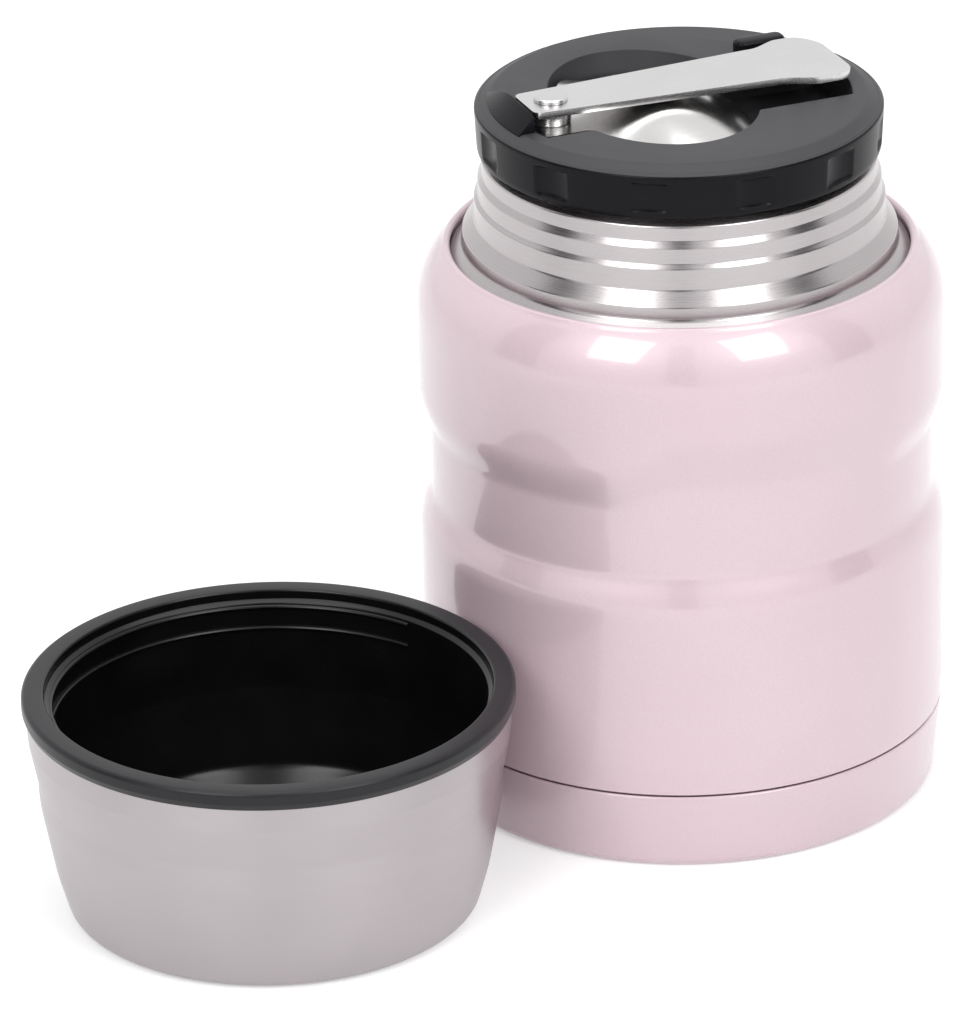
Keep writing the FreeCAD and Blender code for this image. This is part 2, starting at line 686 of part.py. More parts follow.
def spoon_rivet():
    """The rivet that the handle swings on, headed at both ends."""
    head_low = HANDLE_TOP + RUNNING
    foot_high = SPOON_NECK_UNDERSIDE - PRESSED / 2
    head = ring(0, RIVET_HEAD_RADIUS, head_low, head_low + RIVET_HEAD_HEIGHT)
    head = head.makeFillet(0.5, [edge for edge in head.Edges if edge.BoundBox.ZMin > head_low + 0.1])
    shank = ring(0, RIVET_RADIUS, foot_high - 0.1, head_low + 0.1)
    foot = ring(0, RIVET_FOOT_RADIUS, foot_high - RIVET_HEAD_HEIGHT, foot_high)
    rivet = head.fuse([shank, foot])
    rivet.translate(Vector(PIVOT_U, 0, 0))
    return rivet


def spoon_washer():
    """The bush that holds the handle above the bowl's neck."""
    washer = ring(
        RIVET_RADIUS + PRESSED / 2, WASHER_RADIUS, SPOON_NECK_TOP + PRESSED / 2, HANDLE_UNDERSIDE - RUNNING
    )
    washer.translate(Vector(PIVOT_U, 0, 0))
    return washer


# Cup

def cup_skin(inset):
    """The cup's wall in profile, from its foot to under the rim, set inwards by an amount."""
    top = CUP_HEIGHT - CUP_RIM_THICKNESS
    return (
        (CUP_FOOT_RADIUS + 1.6 - inset, inset, CUP_FOOT_CORNER),
        (CUP_SWELL_RADIUS - inset, CUP_SWELL, CUP_SWELL_CURVE),
        (CUP_BELT_RADIUS - inset, CUP_BELT, CUP_SWELL_CURVE),
        (CUP_BELT_RADIUS + CUP_DRAFT - inset, CUP_FLARE_FOOT, 6.0),
        (CUP_SHELL_TOP_RADIUS - inset, CUP_FLARE_TOP, 5.0),
        (CUP_SHELL_TOP_RADIUS + CUP_DRAFT - inset, top - PRESSED),
    )


def cup_shell():
    """The cup's brushed steel shell."""
    skin = path(on_profile, (0, 0.8), (CUP_FOOT_RADIUS - 4, 0.8, 1.0), (CUP_FOOT_RADIUS - 2, 0, 1.0), *cup_skin(0))
    return turned(sheet_section(skin, CUP_SHEET))


def cup_liner():
    """The cup's moulded liner, with the thick rim that rests on the jar's shoulder."""
    inset = CUP_SHEET + 2 * PRESSED
    rim = CUP_HEIGHT - CUP_RIM_THICKNESS
    top_inset = CUP_SHELL_TOP_RADIUS + CUP_DRAFT - inset
    profile = closed_face(
        on_profile,
        (0, LINER_FLOOR - 1.5),
        (CUP_FOOT_RADIUS + 0.8 - inset, LINER_FLOOR - 1.5, 1.5),
        *cup_skin(inset)[1:-1],
        (top_inset, rim),
        (CUP_RIM_RADIUS - 0.5, rim, 0.3),
        (CUP_RIM_RADIUS, rim + 1.2, 0.5),
        (CUP_RIM_RADIUS, CUP_HEIGHT, 0.9),
        (CUP_RIM_BORE, CUP_HEIGHT, 0.5),
        (CUP_RIM_BORE, CUP_HEIGHT - 1.8),
        (CUP_NECK_BORE, CUP_HEIGHT - 2.3),
        (CUP_NECK_BORE, CUP_NECK_FOOT, 6.0),
        (CUP_BELT_RADIUS - inset - LINER_WALL, CUP_BELT + 1, 6.0),
        (CUP_SWELL_RADIUS - inset - LINER_WALL, CUP_SWELL, 4.0),
        (CUP_FOOT_RADIUS - inset - LINER_WALL, LINER_FLOOR, 3.0),
        (0, LINER_FLOOR),
    )
    return turned(profile)


def beside_jar(shape):
    """The cup's place beside the jar, a hair above the ground that the jar's foot stands on."""
    angle = math.radians(CUP_AZIMUTH)
    moved = shape.copy()
    moved.translate(Vector(CUP_DISTANCE * math.cos(angle), CUP_DISTANCE * math.sin(angle), CUP_STAND))
    return moved


def on_stopper(shape):
    """The place of a piece made in the stopper's own directions."""
    return about_z(shape, SPOON_AZIMUTH)


def build():
    """Every piece of the jar by name, in its place."""
    return {
        "base_cap": base_cap(),
        "outer_shell": outer_shell(),
        "outer_bottom": outer_bottom(),
        "vacuum_seal_bead": vacuum_seal_bead(),
        "inner_vessel": inner_vessel(),
        "heat_shield_foil": heat_shield_foil(),
        "getter_pill": getter_pill(),
        "neck_collar": neck_collar(),
        "stopper_cap": on_stopper(stopper_cap()),
        "stopper_plug": stopper_plug(),
        "stopper_insulation": stopper_insulation(),
        "stopper_seal": stopper_seal(),
        "spoon_bowl": on_stopper(spoon_bowl()),
        "spoon_handle": on_stopper(spoon_handle()),
        "spoon_rivet": on_stopper(spoon_rivet()),
        "spoon_washer": on_stopper(spoon_washer()),
        "cup_shell": beside_jar(cup_shell()),
        "cup_liner": beside_jar(cup_liner()),
    }


os.makedirs("parts", exist_ok=True)
for name, shape in build().items():
    shape.exportStep(f"parts/{name}.step")
    box = shape.BoundBox
    print(f"{name}: {len(shape.Solids)} solid, valid {shape.isValid()}, {shape.Volume / 1000:.2f} cm3, "
          f"x {box.XMin:.1f}..{box.XMax:.1f}, y {box.YMin:.1f}..{box.YMax:.1f}, z {box.ZMin:.2f}..{box.ZMax:.2f}")
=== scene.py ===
"""Looks of an insulated food jar, its screw stopper with a folding spoon, and its cup.

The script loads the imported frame, builds the finished pieces around it, and lights
and frames them. Sizes are in millimetres until a mesh is made; meshes are in metres.
"""

import logging
import math
from dataclasses import dataclass
from enum import Enum
from typing import Callable, Sequence

import bmesh
import bpy
from mathutils import Matrix, Vector

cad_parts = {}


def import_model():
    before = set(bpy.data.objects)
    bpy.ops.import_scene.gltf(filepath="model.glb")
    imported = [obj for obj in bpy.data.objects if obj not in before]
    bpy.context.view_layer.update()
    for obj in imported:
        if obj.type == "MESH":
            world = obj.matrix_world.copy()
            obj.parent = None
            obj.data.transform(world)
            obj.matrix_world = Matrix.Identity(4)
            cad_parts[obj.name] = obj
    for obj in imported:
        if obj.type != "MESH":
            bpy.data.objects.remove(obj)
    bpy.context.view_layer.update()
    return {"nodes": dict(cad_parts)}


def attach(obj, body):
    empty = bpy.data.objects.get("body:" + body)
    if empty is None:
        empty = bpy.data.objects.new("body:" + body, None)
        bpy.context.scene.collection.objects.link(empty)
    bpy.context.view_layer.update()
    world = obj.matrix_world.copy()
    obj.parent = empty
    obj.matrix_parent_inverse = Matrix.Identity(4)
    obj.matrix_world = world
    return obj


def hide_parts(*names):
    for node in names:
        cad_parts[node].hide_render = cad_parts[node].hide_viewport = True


MM = 0.001

Point = tuple[float, float]
Colour = tuple[float, float, float]

log = logging.getLogger("food_jar")


class Body(Enum):
    """The bodies of the frame that pieces ride on."""

    JAR = "jar"
    SEAL = "seal"
    STOPPER = "stopper"
    SPOON = "spoon"
    HANDLE = "spoon_handle"
    CUP = "cup"


class Slot(Enum):
    """The record's material slots, named alongside the pieces of this script."""

    PAINT = "painted_shell"
    BRIGHT = "bright_steel"
    NECK = "neck_steel"
    STOPPER = "stopper_plastic"
    PLUG = "plug_plastic"
    SEAL = "seal_rubber"
    SPOON = "spoon_steel"
    HANDLE = "handle_steel"
    CUP = "cup_steel"
    LINER = "liner_plastic"


# Outlines

def rounded(steps: Sequence[tuple], per_corner: int = 6, per_arc: int = 16) -> list[Point]:
    """Points along an outline of corners, rounded corners and arcs.

    Args:
        steps: (a, b) is a sharp corner, (a, b, radius) a rounded one, and
            ((a, b), (c, d)) an arc through the first point to the second.
        per_corner: Steps in each rounded corner.
        per_arc: Steps in each arc.

    Returns:
        The outline's points, from the first step to the last.
    """
    points = [Vector(steps[0][:2])]
    for index, step in enumerate(steps[1:], 1):
        here = points[-1]
        if isinstance(step[0], tuple):
            points += arc_points(here, Vector(step[0]), Vector(step[1]), per_arc)
        elif len(step) == 3:
            corner, after = Vector(step[:2]), Vector(steps[index + 1][:2])
            points += corner_points(here, corner, after, step[2], per_corner)
        else:
            points.append(Vector(step))
    return [(point.x, point.y) for point in points]


def corner_points(before: Vector, corner: Vector, after: Vector, radius: float, count: int) -> list[Vector]:
    """Points of the round between two straight runs.

    Args:
        before: Start of the run into the corner.
        corner: The sharp corner.
        after: End of the run out of it.
        radius: Radius of the round.
        count: Steps along the round.

    Returns:
        The round's points, its two ends included.
    """
    inward = (corner - before).normalized()
    outward = (after - corner).normalized()
    turn = inward.angle(outward)
    side = math.copysign(1.0, inward.x * outward.y - inward.y * outward.x)
    start = corner - inward * radius * math.tan(turn / 2)
    across = Vector((-inward.y, inward.x)) * side
    angles = [turn * step / count for step in range(count + 1)]
    return [start + inward * radius * math.sin(a) + across * radius * (1 - math.cos(a)) for a in angles]


def arc_points(start: Vector, middle: Vector, end: Vector, count: int) -> list[Vector]:
    """Points of the circle's arc through three points.

    Args:
        start: Where the arc starts; it isn't repeated.
        middle: A point on the arc.
        end: Where the arc ends.
        count: Steps along the arc.

    Returns:
        The arc's points after its start.
    """
    a, b = middle - start, end - start
    cross = 2 * (a.x * b.y - a.y * b.x)
    centre = start + Vector((
        (b.y * a.length_squared - a.y * b.length_squared) / cross,
        (a.x * b.length_squared - b.x * a.length_squared) / cross,
    ))
    radius = (start - centre).length
    first = math.atan2(start.y - centre.y, start.x - centre.x)
    sweep = math.atan2(end.y - centre.y, end.x - centre.x) - first
    turn = math.copysign(1.0, cross)
    sweep = sweep % (turn * 2 * math.pi)
    angles = [first + sweep * step / count for step in range(1, count + 1)]
    return [centre + Vector((math.cos(angle), math.sin(angle))) * radius for angle in angles]


def sheet(points: list[Point], wall: float) -> list[Point]:
    """The closed section of sheet metal whose outer skin follows the points.

    Args:
        points: The outer skin, from foot to top; the wall lies to its left.
        wall: The sheet's thickness.

    Returns:
        The skin's points and then the inner side's, back to the start.
    """
    kept = [points[0]]
    kept += [point for point in points[1:] if math.dist(point, kept[-1]) > 1e-4]
    skin = [Vector(point) for point in kept]
    runs = [(after - before).normalized() for before, after in zip(skin, skin[1:])]
    inner = []
    for index, point in enumerate(skin):
        before, after = runs[max(index - 1, 0)], runs[min(index, len(runs) - 1)]
        normal = Vector((-before.y - after.y, before.x + after.x)).normalized()
        slant = max(normal.dot(Vector((-after.y, after.x))), 0.5)
        inner.append(point + normal * wall / slant)
    return kept + [(point.x, point.y) for point in reversed(inner)]


def smooth(share: float) -> float:
    """A share held between 0 and 1 and eased at both ends."""
    share = min(max(share, 0.0), 1.0)
    return share * share * (3 - 2 * share)


def corner_inset(distance: float, radius: float) -> float:
    """How far a rounded end draws an outline in, at a distance from the end."""
    return radius - math.sqrt(max(radius ** 2 - max(radius - distance, 0.0) ** 2, 0.0))


# Meshes

def linked(name: str, data: bpy.types.ID) -> bpy.types.Object:
    """A new object of that name and data in the scene."""
    obj = bpy.data.objects.new(name, data)
    bpy.context.scene.collection.objects.link(obj)
    return obj


def mesh_object(name: str, vertices: list, faces: list, sharp: float = 35.0) -> bpy.types.Object:
    """A closed, smooth-shaded mesh object at the origin.

    Args:
        name: The piece's name.
        vertices: Corners in millimetres.
        faces: Corner numbers of each face.
        sharp: Angle in degrees past which an edge stays sharp.

    Returns:
        The new object.
    """
    mesh = bpy.data.meshes.new(name)
    mesh.from_pydata([Vector(corner) * MM for corner in vertices], [], faces)
    work = bmesh.new()
    work.from_mesh(mesh)
    bmesh.ops.remove_doubles(work, verts=work.verts, dist=2e-6)
    bmesh.ops.dissolve_degenerate(work, edges=work.edges, dist=1e-7)
    bmesh.ops.recalc_face_normals(work, faces=work.faces)
    work.to_mesh(mesh)
    work.free()
    obj = linked(name, mesh)
    shade(obj, sharp)
    return obj


def shade(obj: bpy.types.Object, sharp: float = 35.0) -> None:
    """Shades an object smooth, with edges past an angle left sharp.

    Args:
        obj: The mesh object.
        sharp: The angle in degrees.
    """
    obj.data.shade_smooth()
    obj.data.set_sharp_from_angle(angle=math.radians(sharp))


def lathe(
    name: str,
    outline: list[Point] | Callable[[float], list[Point]],
    segments: int = 192,
    centre: Point = (0.0, 0.0),
    sharp: float = 35.0,
) -> bpy.types.Object:
    """A closed outline of (radius, height) points turned about an upright axis.

    Args:
        name: The piece's name.
        outline: The closed outline, or a function that gives it at an azimuth in degrees.
        segments: Steps round the axis.
        centre: Where the axis stands.
        sharp: Angle in degrees past which an edge stays sharp.

    Returns:
        The turned piece.
    """
    vertices, faces = [], []
    for segment in range(segments):
        azimuth = 360.0 * segment / segments
        points = outline(azimuth) if callable(outline) else outline
        turn = math.radians(azimuth)
        x, y = math.cos(turn), math.sin(turn)
        vertices += [(centre[0] + radius * x, centre[1] + radius * y, height) for radius, height in points]
    count = len(vertices) // segments
    for segment in range(segments):
        here, there = segment * count, (segment + 1) % segments * count
        for point in range(count):
            after = (point + 1) % count
            faces.append((here + point, there + point, there + after, here + after))
    return mesh_object(name, vertices, faces, sharp)


def prism(name: str, outline: list[Point], low: float, high: float) -> bpy.types.Object:
    """An upright prism on a plan outline.

    Args:
        name: The piece's name.
        outline: The plan's points in order.
        low: Height of its foot.
        high: Height of its top.

    Returns:
        The prism.
    """
    count = len(outline)
    vertices = [(x, y, low) for x, y in outline] + [(x, y, high) for x, y in outline]
    faces = [tuple(range(count)), tuple(range(2 * count - 1, count - 1, -1))]
    faces += [(i, (i + 1) % count, count + (i + 1) % count, count + i) for i in range(count)]
    return mesh_object(name, vertices, faces)


def about_axis(outline: list[Point], azimuth: float) -> list[Point]:
    """A plan outline turned about the jar's axis by an azimuth in degrees."""
    turn = math.radians(azimuth)
    c, s = math.cos(turn), math.sin(turn)
    return [(x * c - y * s, x * s + y * c) for x, y in outline]


def settle(obj: bpy.types.Object, sharp: float = 35.0) -> bpy.types.Object:
    """Turns an object's modifiers into plain mesh and removes them.

    Args:
        obj: The object with modifiers.
        sharp: Angle in degrees past which an edge stays sharp.

    Returns:
        The same object.
    """
    bpy.context.view_layer.update()
    graph = bpy.context.evaluated_depsgraph_get()
    evaluated = obj.evaluated_get(graph)
    mesh = bpy.data.meshes.new_from_object(evaluated, preserve_all_data_layers=True, depsgraph=graph)
    obj.modifiers.clear()
    obj.data = mesh
    shade(obj, sharp)
    return obj


def cut(
    obj: bpy.types.Object, tools: Sequence[bpy.types.Object], operation: str = "DIFFERENCE"
) -> bpy.types.Object:
    """Combines an object with closed shapes.

    Args:
        obj: The object to change.
        tools: The shapes, which are removed afterwards.
        operation: DIFFERENCE cuts them out, INTERSECT keeps what they share.

    Returns:
        The same object.
    """
    for tool in tools:
        modifier = obj.modifiers.new("cut", "BOOLEAN")
        modifier.operation = operation
        modifier.solver = "EXACT"
        modifier.object = tool
    settle(obj)
    for tool in tools:
        bpy.data.objects.remove(tool)
    return obj


def soften(
    obj: bpy.types.Object, width: float, chosen: Callable[[Vector, Vector], bool], steps: int = 3
) -> None:
    """Rounds the chosen edges of an object.

    Args:
        obj: The object to change.
        width: Width of the round in millimetres.
        chosen: Says from an edge's two ends, in millimetres, whether it is rounded.
        steps: Faces across the round.
    """
    work = bmesh.new()
    work.from_mesh(obj.data)
    layer = work.edges.layers.float.new("bevel_weight_edge")
    for edge in work.edges:
        ends = [vertex.co / MM for vertex in edge.verts]
        bent = len(edge.link_faces) == 2 and edge.calc_face_angle(0.0) > math.radians(30)
        edge[layer] = 1.0 if bent and chosen(*ends) else 0.0
    work.to_mesh(obj.data)
    work.free()
    modifier = obj.modifiers.new("soften", "BEVEL")
    modifier.limit_method = "WEIGHT"
    modifier.width = width * MM
    modifier.segments = steps
    settle(obj)


# Shader maths

class Signal:
    """A shader value that can be written in sums, differences, products and quotients."""

    def __init__(self, shader: "Shader", socket: bpy.types.NodeSocket) -> None:
        """Wraps one output socket of a shader."""
        self.shader = shader
        self.socket = socket

    def _math(self, operation: str, *values: "Signal | float") -> "Signal":
        """One Math node on this and other values."""
        return self.shader.node("ShaderNodeMath", {"operation": operation}, dict(enumerate(values)))

    def __add__(self, other: "Signal | float") -> "Signal":
        """This plus other."""
        return self._math("ADD", self, other)

    __radd__ = __add__

    def __mul__(self, other: "Signal | float") -> "Signal":
        """This times other."""
        return self._math("MULTIPLY", self, other)

    __rmul__ = __mul__

    def __sub__(self, other: "Signal | float") -> "Signal":
        """This less other."""
        return self._math("SUBTRACT", self, other)

    def __rsub__(self, other: "Signal | float") -> "Signal":
        """Other less this."""
        return self._math("SUBTRACT", other, self)

    def __pow__(self, other: "Signal | float") -> "Signal":
        """This to the power of other."""
        return self._math("POWER", self, other)

    def held(self) -> "Signal":
        """This held between 0 and 1."""
        return self.shader.node("ShaderNodeClamp", {}, {"Value": self})


class Shader:
    """A procedural material under construction, around one Principled shader."""

    def __init__(self, name: str) -> None:
        """Starts an empty material of that name."""
        self.material = bpy.data.materials.new(name)
        self.material.use_nodes = True
        self.tree = self.material.node_tree
        self.surface = self.tree.nodes["Principled BSDF"]

    def node(self, kind: str, settings: dict, inputs: dict, output: int | str = 0) -> Signal:
        """Adds a node.

        Args:
            kind: The node's type.
            settings: Its properties, set first.
            inputs: Values or signals by socket name or number.
            output: The output that is returned.

        Returns:
            The node's output as a signal.
        """
        node = self.tree.nodes.new(kind)
        for key, value in settings.items():
            setattr(node, key, value)
        for key, value in inputs.items():
            if isinstance(value, Signal):
                self.tree.links.new(value.socket, node.inputs[key])
            else:
                node.inputs[key].default_value = value
        return Signal(self, node.outputs[output])

    def place(self, centre: Vector = Vector((0, 0, 0)), stretch: Vector = Vector((1, 1, 1))) -> Signal:
        """Object coordinates, measured from a centre in millimetres and stretched."""
        here = self.node("ShaderNodeTexCoord", {}, {}, "Object")
        moved = self.node("ShaderNodeMapping", {}, {"Vector": here, "Location": -centre * MM})
        return self.node("ShaderNodeMapping", {}, {"Vector": moved, "Scale": stretch / MM})

    def noise(self, place: Signal, scale: float, detail: float = 3.0, roughness: float = 0.55) -> Signal:
        """Noise from 0 to 1 with a number of cells to the millimetre."""
        values = {"Vector": place, "Scale": scale, "Detail": detail, "Roughness": roughness}
        return self.node("ShaderNodeTexNoise", {}, values)

    def blend(self, share: Signal, low: Colour, high: Colour) -> Signal:
        """A colour between two, by a share."""
        inputs = {0: share, 6: (*low, 1.0), 7: (*high, 1.0)}
        return self.node("ShaderNodeMix", {"data_type": "RGBA"}, inputs, 2)

    def bump(self, height: Signal, depth: float) -> Signal:
        """The normal of a height pattern whose depth is in millimetres."""
        inputs = {"Height": height, "Distance": depth * MM, "Strength": 1.0}
        return self.node("ShaderNodeBump", {}, inputs, "Normal")

    def set(self, **values: Signal | float | Colour) -> None:
        """Sets the surface's sockets; an underscore in a name stands for a space."""
        for key, value in values.items():
            socket = self.surface.inputs[key.replace("_", " ")]
            if isinstance(value, Signal):
                self.tree.links.new(value.socket, socket)
            elif isinstance(value, tuple):
                socket.default_value = (*value, 1.0)
            else:
                socket.default_value = value


def polar(shader: Shader, place: Signal) -> tuple[Signal, Signal]:
    """Distance from the upright axis, and height, of a place in millimetres.

    Args:
        shader: The material under construction.
        place: Coordinates measured from the axis.

    Returns:
        The distance and the height.
    """
    parts = shader.tree.nodes.new("ShaderNodeSeparateXYZ")
    shader.tree.links.new(place.socket, parts.inputs[0])
    x, y, z = (Signal(shader, socket) for socket in parts.outputs)
    return (x * x + y * y) ** 0.5, z


# Finishes

@dataclass(frozen=True)
class PearlEnamel:
    """Glossy baked enamel with fine pearl flakes under a clear coat."""

    name: str
    colour: Colour
    glint: Colour
    flakes_per_mm: float = 5.0

    def material(self) -> bpy.types.Material:
        """Builds the finish.

        Returns:
            The material.
        """
        shader = Shader(self.name)
        place = shader.place()
        flakes = shader.noise(place, self.flakes_per_mm, 1.0)
        drift = shader.noise(place, 0.03, 2.0)
        share = (flakes * 0.8 + drift * 0.4 - 0.25).held()
        peel = shader.noise(place, 0.35, 2.0)
        shader.set(
            Base_Color=shader.blend(share, self.colour, self.glint),
            Metallic=0.12,
            Roughness=(0.34 + drift * 0.06),
            Coat_Weight=1.0,
            Coat_Roughness=0.06,
            Coat_IOR=1.5,
            Normal=shader.bump(flakes * 0.15 + peel, 0.004),
        )
        return shader.material


@dataclass(frozen=True)
class TurnedSteel:
    """Steel brushed round an upright axis: fine rings that spread the light."""

    name: str
    colour: Colour
    roughness: float
    centre: Point = (0.0, 0.0)
    rings_per_mm: float = 9.0
    depth: float = 0.0025
    grain: float = 0.5
    spread: float = 0.75

    def material(self) -> bpy.types.Material:
        """Builds the finish.

        Returns:
            The material.
        """
        shader = Shader(self.name)
        place = shader.place(Vector((*self.centre, 0.0)))
        reach, height = polar(shader, place)
        path = shader.node("ShaderNodeCombineXYZ", {}, {0: reach, 1: height})
        rings = shader.noise(path, self.rings_per_mm, 4.0, 0.7)
        bands = shader.noise(path, 0.9, 2.0)
        drift = shader.noise(place, 0.05, 2.0)
        dark = tuple(part * 0.82 for part in self.colour)
        share = ((rings - 0.5) * self.grain + drift * 0.6 + 0.2).held()
        shader.set(
            Base_Color=shader.blend(share, dark, self.colour),
            Metallic=1.0,
            Roughness=(self.roughness - 0.08 + rings * 0.1 + bands * 0.06).held(),
            Anisotropic=self.spread,
            Anisotropic_Rotation=0.25,
            Normal=shader.bump(rings + bands * 0.4, self.depth),
        )
        return shader.material


@dataclass(frozen=True)
class PolishedSteel:
    """Bright drawn steel with faint wiping marks along one direction."""

    name: str
    colour: Colour
    roughness: float
    azimuth: float = 0.0
    marks_per_mm: float = 2.2
    depth: float = 0.0012

    def material(self) -> bpy.types.Material:
        """Builds the finish.

        Returns:
            The material.
        """
        shader = Shader(self.name)
        place = shader.place()
        turned = shader.node(
            "ShaderNodeMapping", {}, {"Vector": place, "Rotation": (0.0, 0.0, math.radians(-self.azimuth))}
        )
        drawn = shader.node("ShaderNodeMapping", {}, {"Vector": turned, "Scale": (0.04, 1.0, 1.0)})
        marks = shader.noise(drawn, self.marks_per_mm, 4.0, 0.65)
        cloud = shader.noise(place, 0.09, 2.0)
        dark = tuple(part * 0.86 for part in self.colour)
        shader.set(
            Base_Color=shader.blend((marks * 0.5 + cloud * 0.6).held(), dark, self.colour),
            Metallic=1.0,
            Roughness=(self.roughness - 0.05 + marks * 0.1 + cloud * 0.05).held(),
            Normal=shader.bump(marks, self.depth),
        )
        return shader.material


@dataclass(frozen=True)
class MouldedPlastic:
    """Moulded plastic with a fine eroded grain."""

    name: str
    colour: Colour
    roughness: float
    grain_per_mm: float = 4.0
    depth: float = 0.01
    coat: float = 0.0
    specular: float = 0.5

    def material(self) -> bpy.types.Material:
        """Builds the finish.

        Returns:
            The material.
        """
        shader = Shader(self.name)
        place = shader.place()
        grain = shader.noise(place, self.grain_per_mm, 2.0)
        wear = shader.noise(place, 0.12, 3.0)
        pale = tuple(part * 1.3 + 0.004 for part in self.colour)
        shader.set(
            Base_Color=shader.blend((wear * 0.7 + grain * 0.3).held(), self.colour, pale),
            Roughness=(self.roughness - 0.04 + wear * 0.08 + grain * 0.04).held(),
            Specular_IOR_Level=self.specular,
            Coat_Weight=self.coat,
            Coat_Roughness=0.12,
            Normal=shader.bump(grain, self.depth),
        )
        return shader.material


@dataclass(frozen=True)
class Finishes:
    """Every finish of the object, built once."""

    paint: bpy.types.Material
    neck: bpy.types.Material
    bright: bpy.types.Material
    inner: bpy.types.Material
    foil: bpy.types.Material
    getter: bpy.types.Material
    solder: bpy.types.Material
    deck: bpy.types.Material
    skirt: bpy.types.Material
    plug: bpy.types.Material
    foam: bpy.types.Material
    seal: bpy.types.Material
    spoon: bpy.types.Material
    handle: bpy.types.Material
    cup: bpy.types.Material
    rim: bpy.types.Material
    liner: bpy.types.Material

    @staticmethod
    def build(spoon_azimuth: float, cup_centre: Point) -> "Finishes":
        """Builds the finishes.

        Args:
            spoon_azimuth: Direction of the spoon in degrees.
            cup_centre: Where the cup's axis stands, in millimetres.

        Returns:
            The finishes by name.
        """
        return Finishes(
            paint=PearlEnamel("pearl_enamel", (0.66, 0.49, 0.55), (0.79, 0.66, 0.70)).material(),
            neck=TurnedSteel("turned_neck_steel", (0.51, 0.48, 0.485), 0.27, grain=0.7).material(),
            bright=TurnedSteel("bright_vessel_steel", (0.70, 0.69, 0.68), 0.14, rings_per_mm=5.0).material(),
            inner=TurnedSteel("drawn_disc_steel", (0.62, 0.61, 0.60), 0.35).material(),
            foil=PolishedSteel("reflecting_foil", (0.82, 0.80, 0.78), 0.2, depth=0.02).material(),
            getter=MouldedPlastic("sintered_getter", (0.10, 0.10, 0.105), 0.75, depth=0.03).material(),
            solder=MouldedPlastic("solder_bead_glass", (0.12, 0.14, 0.13), 0.15, coat=1.0).material(),
            deck=MouldedPlastic(
                "charcoal_deck_plastic", (0.030, 0.030, 0.034), 0.47, specular=0.4
            ).material(),
            # painted shade: the skirt's plastic is the deck's charcoal made ten times darker, so the cap's
            # sides read as shaded and its deck as lit
            skirt=MouldedPlastic(
                "skirt_plastic_painted_shade", (0.003, 0.003, 0.005), 0.26, depth=0.003, specular=0.12
            ).material(),
            plug=MouldedPlastic("black_plug_plastic", (0.03, 0.03, 0.033), 0.4).material(),
            foam=MouldedPlastic("cream_foam", (0.70, 0.68, 0.60), 0.9, 1.2, 0.15).material(),
            seal=MouldedPlastic("grey_silicone", (0.42, 0.42, 0.43), 0.45, depth=0.004).material(),
            spoon=PolishedSteel("polished_spoon_steel", (0.72, 0.71, 0.70), 0.2, spoon_azimuth).material(),
            handle=PolishedSteel(
                "brushed_handle_steel", (0.70, 0.69, 0.69), 0.24, spoon_azimuth, 5.0, 0.003
            ).material(),
            cup=TurnedSteel("satin_cup_steel", (0.47, 0.435, 0.45), 0.36, cup_centre, grain=0.6).material(),
            rim=MouldedPlastic(
                "black_rim_plastic", (0.010, 0.010, 0.012), 0.33, depth=0.004, specular=0.3
            ).material(),
            # painted shade: the liner's inside is the rim's black plastic made five times darker, as shade
            # in the cup's hollow
            liner=MouldedPlastic(
                "liner_plastic_painted_shade", (0.002, 0.002, 0.0024), 0.22, depth=0.002, specular=0.3
            ).material(),
        )


def matt(name: str, colour: Colour, roughness: float, specular: float) -> bpy.types.Material:
    """A plain material of one colour, for what isn't part of the object.

    Args:
        name: The material's name.
        colour: Its colour.
        roughness: Its roughness.
        specular: Its specular level.

    Returns:
        The material.
    """
    material = bpy.data.materials.new(name)
    material.use_nodes = True
    surface = material.node_tree.nodes["Principled BSDF"]
    surface.inputs["Base Color"].default_value = (*colour, 1.0)
    surface.inputs["Roughness"].default_value = roughness
    surface.inputs["Specular IOR Level"].default_value = specular
    return material


def dress(obj: bpy.types.Object, *materials: bpy.types.Material) -> None:
    """Gives an object its materials, in slot order.

    Args:
        obj: The object.
        materials: The materials.
    """
    obj.data.materials.clear()
    for material in materials:
        obj.data.materials.append(material)


def place(obj: bpy.types.Object, body: Body, slot: Slot, *nodes: str) -> None:
    """Makes a piece ride on a body and stand for the named nodes.

    Args:
        obj: The piece.
        body: The body it rides on.
        slot: The record's material slot; not used.
        nodes: The nodes it replaces.
    """
    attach(obj, body.value)
    if nodes:
        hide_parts(*nodes)
    log.info("%s rides on %s, %d faces", obj.name, body.value, len(obj.data.polygons))


# Geometry that follows a helix

